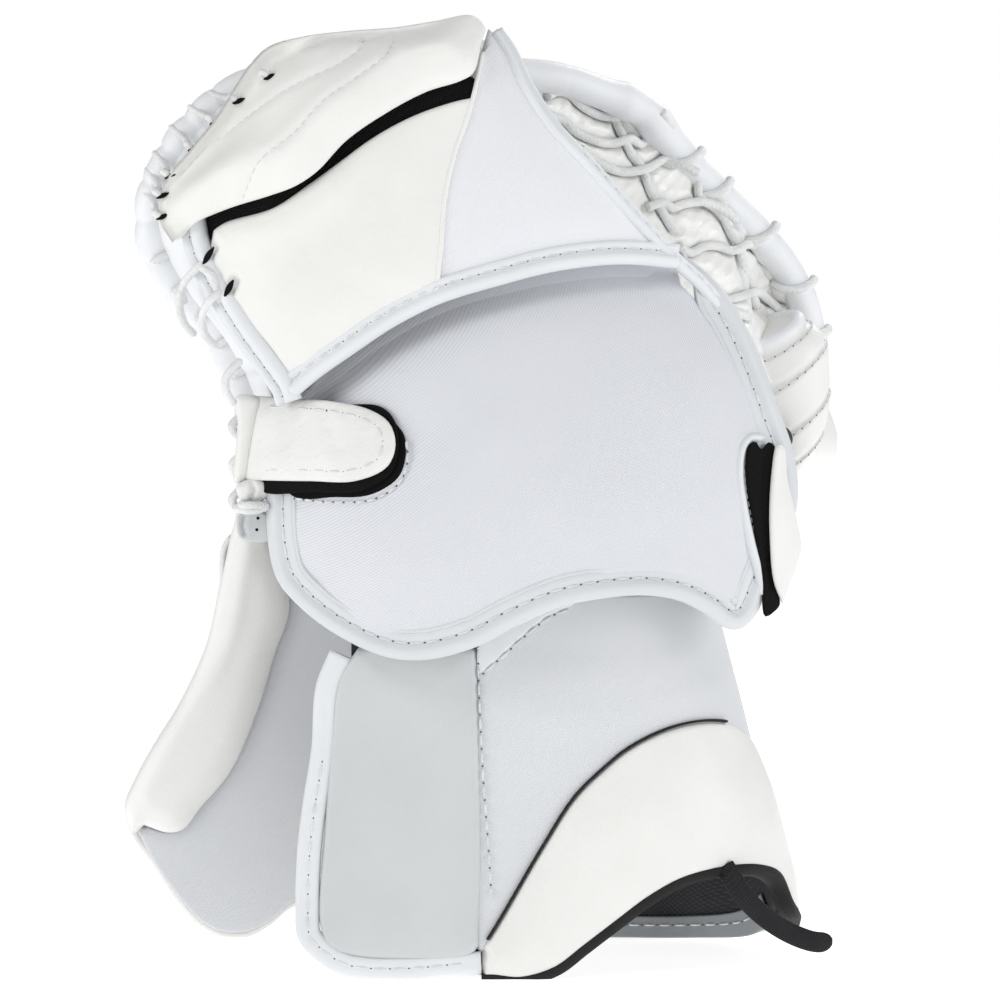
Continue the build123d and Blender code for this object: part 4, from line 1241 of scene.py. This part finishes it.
def pocket_web():
    """Web leather that puffs out between the laces, with a back face."""
    rows, columns = 260, 110
    q = np.linspace(0.05, 0.93, rows)
    inner = t_start + (heel_point - t_start) * np.interp(q, *web_pace)[:, None]
    outer = T_LINE[(q * (len(T_LINE) - 1)).astype(int)]
    across = np.linspace(-0.02, 0.97, columns)[None, :, None]
    spots = (inner[:, None] + (outer - inner)[:, None] * across)[..., [0, 2]].reshape(-1, 2)
    gap = np.min([away(spots, curve(points, 2.0)) for points in LONG_LACES + RUNGS], axis=0)
    mound = 1 - np.exp(-((gap / 3.4) ** 1.5))
    x, z = spots.T
    dents = 0.55 * np.sin(0.41 * x + 0.23 * z) * np.sin(0.37 * z - 0.29 * x) + 0.3 * np.sin(0.9 * x - 0.7 * z)
    face = WEB.at(spots, -1.2 + mound * (4.2 + dents))
    back = WEB.at(spots, -4.0)
    faces = grid_faces(rows, columns)
    count = rows * columns
    last = (rows - 1) * columns
    rim = ([(i * columns, (i + 1) * columns) for i in range(rows - 1)]
           + [((i + 2) * columns - 1, (i + 1) * columns - 1) for i in range(rows - 1)]
           + [(j + 1, j) for j in range(columns - 1)] + [(last + j, last + j + 1)
                                                         for j in range(columns - 1)])
    build = Build()
    build.add(np.concatenate([face, back]), faces + [tuple(i + count for i in reversed(f)) for f in faces]
              + [(i, j, j + count, i + count) for i, j in rim])
    # The web's leather is brightened as painted light.
    across_spine(build.make("pocket_web", None, GLOSSY_LIT, ["web_finger_side", "web_thumb_side"]))


def web_laces():
    """Each lace dips between the crossings; a rung rides over the long laces."""
    laces = Build()
    for points in LONG_LACES:
        line = curve(points, 1.0)
        tube(laces, WEB.at(line, 1.7 + 0.5 * np.sin(np.arange(len(line)) * 0.35)), lace_thick, 12)
    for points in RUNGS:
        line = curve(points, 1.0)
        crossing = np.min([away(line, curve(other, 1.0)) for other in LONG_LACES], axis=0)
        path = WEB.at(line, 1.9 + 2.8 * bell(crossing, 4.5))
        tube(laces, curve(path[::3], 1.0), lace_thick, 12)
    across_spine(laces.make("web_laces", None, LACE, ["web_lacing_finger", "web_lacing_thumb"]))


def t_band():
    """The T: a padded leather roll from the fingertips to the thumb tip, with the web laced over it."""
    at = np.linspace(0, 1, len(T_LINE))
    size = 7.0 + 0.3 * np.abs(np.sin(at * 31)) ** 0.6
    size = size + 1.5 * bell(T_LINE[:, 0] - 30, 6) + 1.7 * bell(T_LINE[:, 0] - 44, 5)
    size = size * np.where(at > 0.93, np.sqrt(np.clip((0.985 - at) / 0.055, 0.02, 1)), 1)
    build = Build()
    tube(build, T_LINE, size, 26)
    across_spine(build.make("t_roll", None, COOL, ["t_roll_finger_side", "t_roll_thumb_side"]))
    wraps = Build()
    for height, lean in WRAPS:
        i = int(np.argmin(np.abs(T_LINE[:, 2] - height)))
        run = T_LINE[i - 1] - T_LINE[i + 1]
        side = np.array([-run[2], 0, run[0]])
        side = side * (-1 if side[0] > 0 else 1)
        around(wraps, T_LINE[i], run, side, -12, 200, size[i] + 1.3, lace_thick, -lean)
    across_spine(wraps.make("t_laces", None, LACE, ["t_lacing", "thumb_lacing"]))
    build = Build()
    line = np.linspace(heel_point + spine_run * 0.03, heel_point + spine_run * 0.92, 60)
    tube(build, line + [0, 5.0, 0], 3.4, 14)
    build.make("pocket_spine_roll", "root", COOL, ["pocket_spine"])


def across_spine(piece):
    """Bakes the transform of a piece across the pocket's fold into its mesh; the middle and swing it works
    out are not used.
    """
    middle = (heel_point + spine_top) / 2
    swing = unit(np.cross(spine_run, FINGER_OUT))
    if swing.dot(t_end - middle) < 0:
        swing = -swing
    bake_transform(piece)


# The thumb's padded sleeve, from its cap down: (x, y, z, half width, half depth).
thumb_rings = [(97.5, 80, 279, 5, 4), (97.5, 80, 278, 14.5, 12), (101, 81, 273, 17, 14),
               (106, 83, 264, 18.5, 16), (110, 87, 248, 17, 16), (112.5, 90, 234, 15, 16),
               (112, 91, 223, 13, 15), (110, 93, 213, 8.5, 11.5), (108, 95, 208, 3, 5)]
thumb_seams = [0.20, 0.35, 0.59, 0.76]


def thumb_ring(rings, at, shrink=0.0, sides=64):
    """One ring of the sleeve: its outer side stands higher and its front dips."""
    row = [np.interp(at, np.linspace(0, 1, len(rings)), rings[:, i]) for i in range(5)]
    angles = circle(sides)
    x = (row[3] - shrink) * np.cos(angles)
    y = (row[4] - shrink) * np.sin(angles)
    tilt = np.interp(at, [0, 0.2, 0.4], [0.3, 0.5, 0.72])
    return np.stack([row[0] + x, row[1] + y, row[2] + tilt * x + 0.4 * y], axis=1)


def thumb():
    rings = curve(thumb_rings, count=120)
    sleeve = Build()
    count, sides, sleeve_length = 160, 64, 85
    rows = []
    for at in np.linspace(0, 1, count):
        groove = sum(1.4 * bell((at - seam) * sleeve_length, 1.5) for seam in thumb_seams)
        rows.append(thumb_ring(rings, at, groove, sides))
    sleeve.add(np.array(rows).reshape(-1, 3), grid_faces(count, sides, False, True, True))
    body = sleeve.make("thumb_padded_sleeve", "thumb", WARM, ["thumb_back_cover"])
    cap = Build()
    ring = thumb_ring(rings, 0.15, 1.6)
    tube(cap, ring, 3.3, 14, closed=True)
    cap.make("thumb_cap_piping", "thumb", COOL)
    lines = []
    for at in (0.215, 0.365, 0.605, 0.775):
        ring = thumb_ring(rings, at, -0.1)
        ring = np.vstack([ring, ring[:1]])
        normal = ring - ring[:-1].mean(0)
        normal[:, 2] = 0
        lines.append((ring, normal / np.linalg.norm(normal, axis=1, keepdims=True)))
    sewn("thumb_seam_stitches", "thumb", lines, pitch=4.8, length=3.5, thick=0.36)
    laces = Build()
    for x, y, z in ((122.5, 96, 246), (115, 92, 226)):
        cord(laces, [(x - 8, y - 14, z - 9), (x - 2, y - 13, z - 5), (x + 3, y - 6, z),
                     (x + 4.5, y + 3, z + 4),
                     (x + 1, y + 12, z + 8)], 2.0)
    laces.make("thumb_side_laces", "thumb", LACE)

    back_edge = curve([(62, 10), (84, -6), (112, -15), (124, -8), (122, 8), (104, 34), (84, 58), (74, 58),
                       (62, 40)], 2.0, True)
    panel("thumb_outer_leather", "thumb", WARM, back_edge, THUMB_BACK, 4.0, 12.5, 6.0, 4.0, 16,
          seams=[(curve([(70, 0), (80, 28), (88, 54)], 1.5), 1.2, 1.5)])
    face_edge = curve([(36, 2), (60, -5), (100, -13), (119, -16), (127, -8), (124, 10), (104, 36), (80, 62),
                       (70, 62), (52, 30)], 2.2, True)
    panel("thumb_face_leather", "thumb", CATCH, face_edge, THUMB_FACE, 8.2, 15.0, 3.5, 0.8, 20,
          seams=[(curve([(60, 2), (84, -2), (116, -8)], 2), 1.2, 2.0)], nodes=["thumb_face_pad"], pitch=3)
    panel("thumb_board", "thumb", BOARD, inset(face_edge, 5), THUMB_FACE, 6.3, 7.6, 0.5, pitch=5,
          nodes=["thumb_stiffener"])
    build = Build()
    line = THUMB_BACK.at(np.linspace((24, 30), (44, 27), 40), 4.2)
    tube(build, line, np.full(40, 6.5), 24)
    build.make("thumb_stall_sleeve", "thumb", LINER, ["thumb_stall"])
    gusset = curve([(-34, 190), (-8, 188), (18, 191), (22, 225), (20, 242), (10, 261), (-6, 252), (-20, 240),
                    (-30, 215)], 2.2, True)
    upright = Surface(lambda y, z: np.stack([np.full_like(y, 88.0), y, z], axis=1))
    panel("thumb_gusset_leather", "root", WARM, gusset, upright, -2.0, 2.0, 1.4, pitch=3.5,
          nodes=["thumb_gusset"])


# ---------------------------------------------------------------- wrist flap and straps

flap_edge = [(49, 310), (58, 302), (71, 286), (82, 273), (94, 242), (100, 224), (101.5, 204), (95, 184),
             (87, 166), (83, 157), (76.5, 151.5), (70, 153), (63, 158.5), (50, 165), (35, 167.5),
             (18, 166.5), (0, 163), (-21, 154), (-36, 146), (-57, 140), (-74, 140.5), (-95, 149),
             (-111, 160), (-121, 171), (-125, 186), (-126, 215), (-126, 244), (-116, 256), (-90, 278),
             (-53, 299), (-27, 306), (-2, 312), (25, 315)]
strap_edge = [(-128, 249), (-110, 248), (-95, 247), (-79, 243.5), (-71, 238), (-68.5, 229), (-72, 220),
              (-85, 214), (-105, 213.5), (-134, 213)]


def wrist_flap():
    edge = curve(flap_edge, 1.8, True)
    pad_edge = inset(edge, 5.5)
    rise = smooth_step((pad_edge[:, 1] - 252) / 14) * (pad_edge[:, 0] < 52)
    pad_edge[:, 1] += 4.0 * rise
    folds = ripples(([(-60, 235), (-88, 205), (-104, 175)], -1.0, 9),
                    ([(-30, 235), (-62, 190), (-80, 155)], 1.0, 12),
                    ([(40, 290), (66, 262), (80, 236)], 0.7, 8),
                    ([(-104, 262), (-60, 288), (-20, 301), (36, 307)], -5.5, 15),
                    ([(20, 176), (48, 178), (70, 166)], 0.7, 7),
                    ([(-126, 231), (-100, 231), (-76, 230)], -2.4, 20))
    # The flap's nylon is darkened as painted shade.
    panel("wrist_flap_nylon", "wrist_flap", TWILL_FLAP_SHADED, pad_edge, FLAP, -4.6, -0.8, 2.0, 3.8, 38,
          relief=folds,
          nodes=["wrist_flap_pad"], pitch=3.0)
    panel("wrist_flap_foam_layer", "wrist_flap", FOAM, inset(edge, 9), FLAP, -9.0, -5.0, 1.5, pitch=6,
          nodes=["wrist_flap_foam"])
    # The binding runs down one side, along the foot and up the other; the top is tucked under the back panel.
    loop = curve([(53, 311.5), (63, 303), (73, 290)] + flap_edge[3:27], 1.8)[::-1]
    build = Build()
    tucked = 0.12 + 0.88 * smooth_step(np.arange(len(loop))[::-1] * 1.8 / 26)
    strip(build, loop, FLAP, roll_profile(11.0, 5.4, 3.2, -4.4, -1.2), widths=tucked)
    strip(build, loop, FLAP, [(10.2, -1.0), (10.4, 0.3), (11.2, 0.75), (12.0, 0.3), (12.2, -1.0)],
          widths=tucked)
    # The flap's binding is darkened as painted shade.
    build.make("wrist_flap_edge_binding", "wrist_flap", TAPE_FLAP_SHADED, ["wrist_flap_binding"])
    sewn("wrist_flap_stitches", "wrist_flap", [traced(loop, FLAP, 6.1, 0.0)])

    # The slot for the right strap, with its frayed white rim.
    rim_line = curve([(86, 233), (80, 233), (76, 228), (74.6, 217), (76.2, 204), (79.7, 188), (84, 173),
                      (85, 165)], 1.4)
    bound("strap_slot_rim", "wrist_flap", TAPE, rim_line, FLAP,
          [(-0.6, -1.0), (-0.8, 1.4), (0.2, 3.0), (1.4, 3.2), (2.6, 2.2), (3.0, -1.0)])
    sewn("strap_slot_stitches", "wrist_flap", [traced(rim_line, FLAP, 3.4, 1.6)], pitch=3.4, length=2.4,
         thick=0.3,
         with_holes=False)

    left_patch = curve([(-116, 208), (-96, 207), (-80, 208.5), (-69, 215.5), (-66, 224), (-66.5, 234),
                        (-73, 241), (-84, 245), (-100, 247), (-116, 247)], 1.8, True)
    panel("loop_patch_left_tape", "wrist_flap", HOOK, left_patch, FLAP, 0.1, 1.7, 0.6, pitch=3,
          nodes=["loop_patch_left"])
    patch_line = curve([(-113, 206), (-96, 205), (-79, 206.5), (-68, 213.5), (-64.5, 222), (-65, 232)])
    sewn("loop_patch_stitches", "wrist_flap", [traced(patch_line, FLAP, 0.0, 2.4)], pitch=5.2, length=3.6)
    right_patch = curve([(86, 168), (90, 180), (91, 200), (91, 225), (80, 227), (78, 215), (80, 198)], 1.8,
                        True)
    panel("loop_patch_right_tape", "wrist_flap", HOOK, right_patch, FLAP, 0.2, 1.7, 0.5, pitch=3,
          nodes=["loop_patch_right"])


def straps():
    edge = np.vstack([curve(strap_edge), curve([(-133, 218), (-128.5, 244)])])
    crease = ripples(([(-112, 244), (-108, 230), (-113, 218)], 0.5, 4), ([(-98, 242), (-92, 228)], -0.35, 3),
                     ([(-122, 244), (-124, 226)], -0.3, 4))
    panel("left_strap_body", "left_strap", CREASED, edge, FLAP, 3.8, 6.6, 1.6, 1.1, 9, relief=crease,
          pitch=1.8, nodes=["left_strap_leather"])
    # The row of stitches runs from one side of the strap round its tip to the other.
    line = inset(edge, 4.4)
    line = line[line[:, 0] > -122]
    order = np.argsort(np.arctan2(line[:, 1] - 231, line[:, 0] + 122))
    line = resample(line[order], 1.2)
    sewn("left_strap_stitches", "left_strap", [traced(line, FLAP, 0.0, 7.25)], pitch=8.0, length=5.6,
         thick=0.45)
    hook = curve([(-130, 210), (-104, 209), (-84, 210), (-71, 218), (-68, 229), (-70, 240), (-76, 245.5),
                  (-95, 246), (-130, 246)], 1.8, True)
    panel("left_strap_hook_tape", "left_strap", HOOK, hook, FLAP, 1.9, 3.7, 0.7, pitch=3,
          nodes=["left_strap_hook"])

    right = np.vstack([
        curve([(89.5, 228.5), (88.3, 222), (86.8, 205), (87.0, 188), (88.7, 171), (92.5, 161)])[:-1],
        curve([(92.5, 161), (95, 168), (98.6, 177), (100.6, 185.7), (99.3, 193), (97, 203), (94.5, 214),
               (92.8, 228), (89.5, 228.5)])[:-1]])
    panel("right_strap_body", "wrist_flap", WARM, right, FLAP, 3.8, 6.0, 1.2, 0.9, 6, pitch=2.0,
          nodes=["right_strap_leather"])
    dark = curve([(79, 228.5), (81.5, 230.5), (84.5, 227), (88, 230), (90.5, 227.5), (89, 205), (89.5, 185),
                  (92.5, 164), (92.5, 160), (90, 157.3), (86.5, 155.5), (85.3, 160), (85, 171), (81.5, 192),
                  (78, 212), (77.6, 222)], 1.4, True)
    panel("right_strap_hook_tape", "wrist_flap", HOOK, dark, FLAP, 1.9, 3.9, 0.7,
          relief=ripples(([(86, 226), (84.5, 205), (86, 185), (88.5, 168)], -1.3, 1.1)), pitch=1.8,
          nodes=["right_strap_hook"])

    pull_tab()


def pull_tab():
    """The woven tape at the cuff's edge: a tube pressed flat, with a rounded end."""
    tab = Build()
    sides, half_width = 16, 4.5
    path = curve([(71, -58, 47), (74, -62, 42.5), (79, -65, 35), (88, -63, 26), (99, -59, 18.5),
                  (110, -55, 14), (118, -52, 13.5)], 1.2)
    wide = np.full(len(path), half_width)
    wide[-5:] = half_width * np.sqrt(np.clip(1 - (np.arange(1, 6) / 5.4) ** 2, 0, 1))
    up = np.tile(unit(np.cross(unit([38, 12.7, -26]), [-12.7, 38, 0])), (len(path), 1))
    tube(tab, path, wide, sides, up=up)
    piece = tab.make("cuff_pull_tab", "pull_tab", WEBBING, ["pull_tab"])
    second = frames(path, up)[1].repeat(sides, 0)
    places = np.array([tuple(v.co) for v in piece.data.vertices]) / MM
    across = ((places - path.repeat(sides, 0)) * second).sum(1, keepdims=True)
    places = places - second * across * 0.72
    piece.data.vertices.foreach_set("co", (places * MM).ravel())
    piece.data.update()


# ---------------------------------------------------------------- side walls and inside


def side_walls():
    """Leather that closes the glove between its back panels, the finger rim and the palm's edge."""
    up_side = [(-128, 190), (-128, 220), (-125, 246), (-134, 268), (-150, 290), (-160, 312), (-168, 330),
               (-163, 346), (-150, 362), (-134, 383), (-120, 395), (-90, 400), (-60, 402), (-34, 402)]
    near = BACK.at(curve(up_side, count=90), -4.0)
    near[:, 1] = np.where(near[:, 2] < 262, np.maximum(near[:, 1], -26), near[:, 1])
    middle = resample(ROLL_LINE, 1, count=90) + [3.0, 0, 0]
    grid = loft([near, (near + middle) / 2 + [-2.5, 0, 0], middle], 10)
    shell("finger_side_wall", "root", COOL, grid, 1.6, ["side_gusset"])
    rim = PALM.at(curve(palm_edge[:11], count=90), -6.0)
    grid = loft([middle, (middle + rim) / 2 + [-1.5, 0, 0], rim], 10)
    shell("palm_side_wall", "root", CATCH, grid, 1.6)


def strap_anchor():
    """The rolled leather loop that the left strap comes from, its lace, and the stitched box under it."""
    build = Build()
    angles = circle(40)
    ring = np.stack([-133 + 5.2 * np.cos(angles), -45 + 5.2 * np.sin(angles), np.full(40, 203.0)], axis=1)
    tube(build, ring, 1.7, 10, closed=True)
    build.make("strap_anchor_ring", "root", LACE, ["strap_anchor_loop"])
    lead = curve([(-130, 249), (-131.5, 240), (-134, 226), (-136.5, 214), (-141.5, 212), (-141, 225),
                  (-140, 238), (-140.5, 250)], 1.4, True)
    panel("strap_lead_in", "root", WARM, lead, flat(-40.0), -4.0, 3.2, 2.4, 0.6, 6, pitch=1.8)
    build = Build()
    for z in (236, 219, 204):
        cord(build, [(-137, -33, z - 5), (-141.5, -37, z - 2), (-142.5, -38, z + 1), (-139, -36, z + 5)], 1.9)
    cord(build, [(-141, -42, 201.5), (-137, -46.5, 200.6), (-131, -48, 200.8), (-126, -47, 203)], 1.8)
    build.make("strap_anchor_lace", "root", LACE)
    box = flat(-41.0)
    edge = curve([(-139, 199), (-127, 199), (-126, 192), (-126, 187), (-139, 188), (-140.5, 193)], 1.2, True)
    # The box's grey leather is darkened as painted shade.
    panel("strap_anchor_box", "root", GREY_SHADED, edge, box, -6, 2.2, 1.2, 0.3, 6, pitch=1.8,
          seams=[(curve([(-137, 198), (-138, 194), (-137, 190)], 1.0), 1.4, 0.8)])
    # Two needle holes as black dots of painted shade.
    dots = Build()
    for x, z in ((-131, 197), (-131.5, 192)):
        pit(dots, np.array([x, -43.6, z]), np.array([0, -1.0, 0]), 0.7)
    dots.make("strap_anchor_hole_shade", "root", HOOK)
    fold = curve([(-140.5, 211), (-134, 214), (-127, 213.5), (-126, 207), (-131, 204), (-138, 204)], 1.2,
                 True)
    panel("strap_anchor_fold", "root", CREASED, fold, flat(-43.0), -5, 2.6, 2.2, 1.2, 6, pitch=1.6,
          seams=[(curve([(-134, 213), (-132.5, 209), (-134, 205)], 1.0), 1.4, 0.7)])


def inside():
    """Foam and lining under the back of the hand, and the four finger stalls."""
    foam_edge = curve([(-42, 394), (-66, 392), (-98, 384), (-122, 364), (-142, 338), (-142, 318),
                       (-128, 300), (-90, 302), (-53, 322), (-27, 328), (-2, 334), (14, 337),
                       (-14, 366)], 2.5, True)
    panel("back_hand_foam_layer", "root", FOAM, foam_edge, BACK, -9.5, -3.3, 1.5, pitch=6,
          nodes=["back_hand_foam"])
    panel("hand_lining_sheet", "root", LINER, foam_edge, BACK, -11.5, -9.8, 0.6, pitch=6,
          nodes=["hand_lining"])
    build = Build()
    for i in range(4):
        # Each stall goes up its outside, over the tip and back down its inside.
        steps, sides = 30, 24
        foot = np.array([-98 + 28 * i, -27, 275.0])
        path = foot + np.linspace(0, 1, steps)[:, None] * [-30, 6, 81.0]
        first, second = (np.vstack([way, way[::-1]]) for way in frames(path))
        path = np.vstack([path, path[::-1]])
        size = np.repeat([13.0, 11.6], steps)
        size[:steps] += 0.25 * np.sin(np.arange(steps) * 1.1)
        size[steps - 1:steps + 1] = 8.0, 7.0
        rings = [path + size[:, None] * (math.cos(a) * first + math.sin(a) * second) for a in circle(sides)]
        build.add(np.stack(rings, axis=1).reshape(-1, 3), grid_faces(2 * steps, sides, True, True))
    build.make("finger_stall_sleeves", "root", LINER, ["finger_stalls"])


back_of_hand()
finger_cover()
finger_rim()
palm()
cuff()
flat_panel()
wing()
pocket_web()
web_laces()
t_band()
thumb()
wrist_flap()
straps()
side_walls()
strap_anchor()
inside()

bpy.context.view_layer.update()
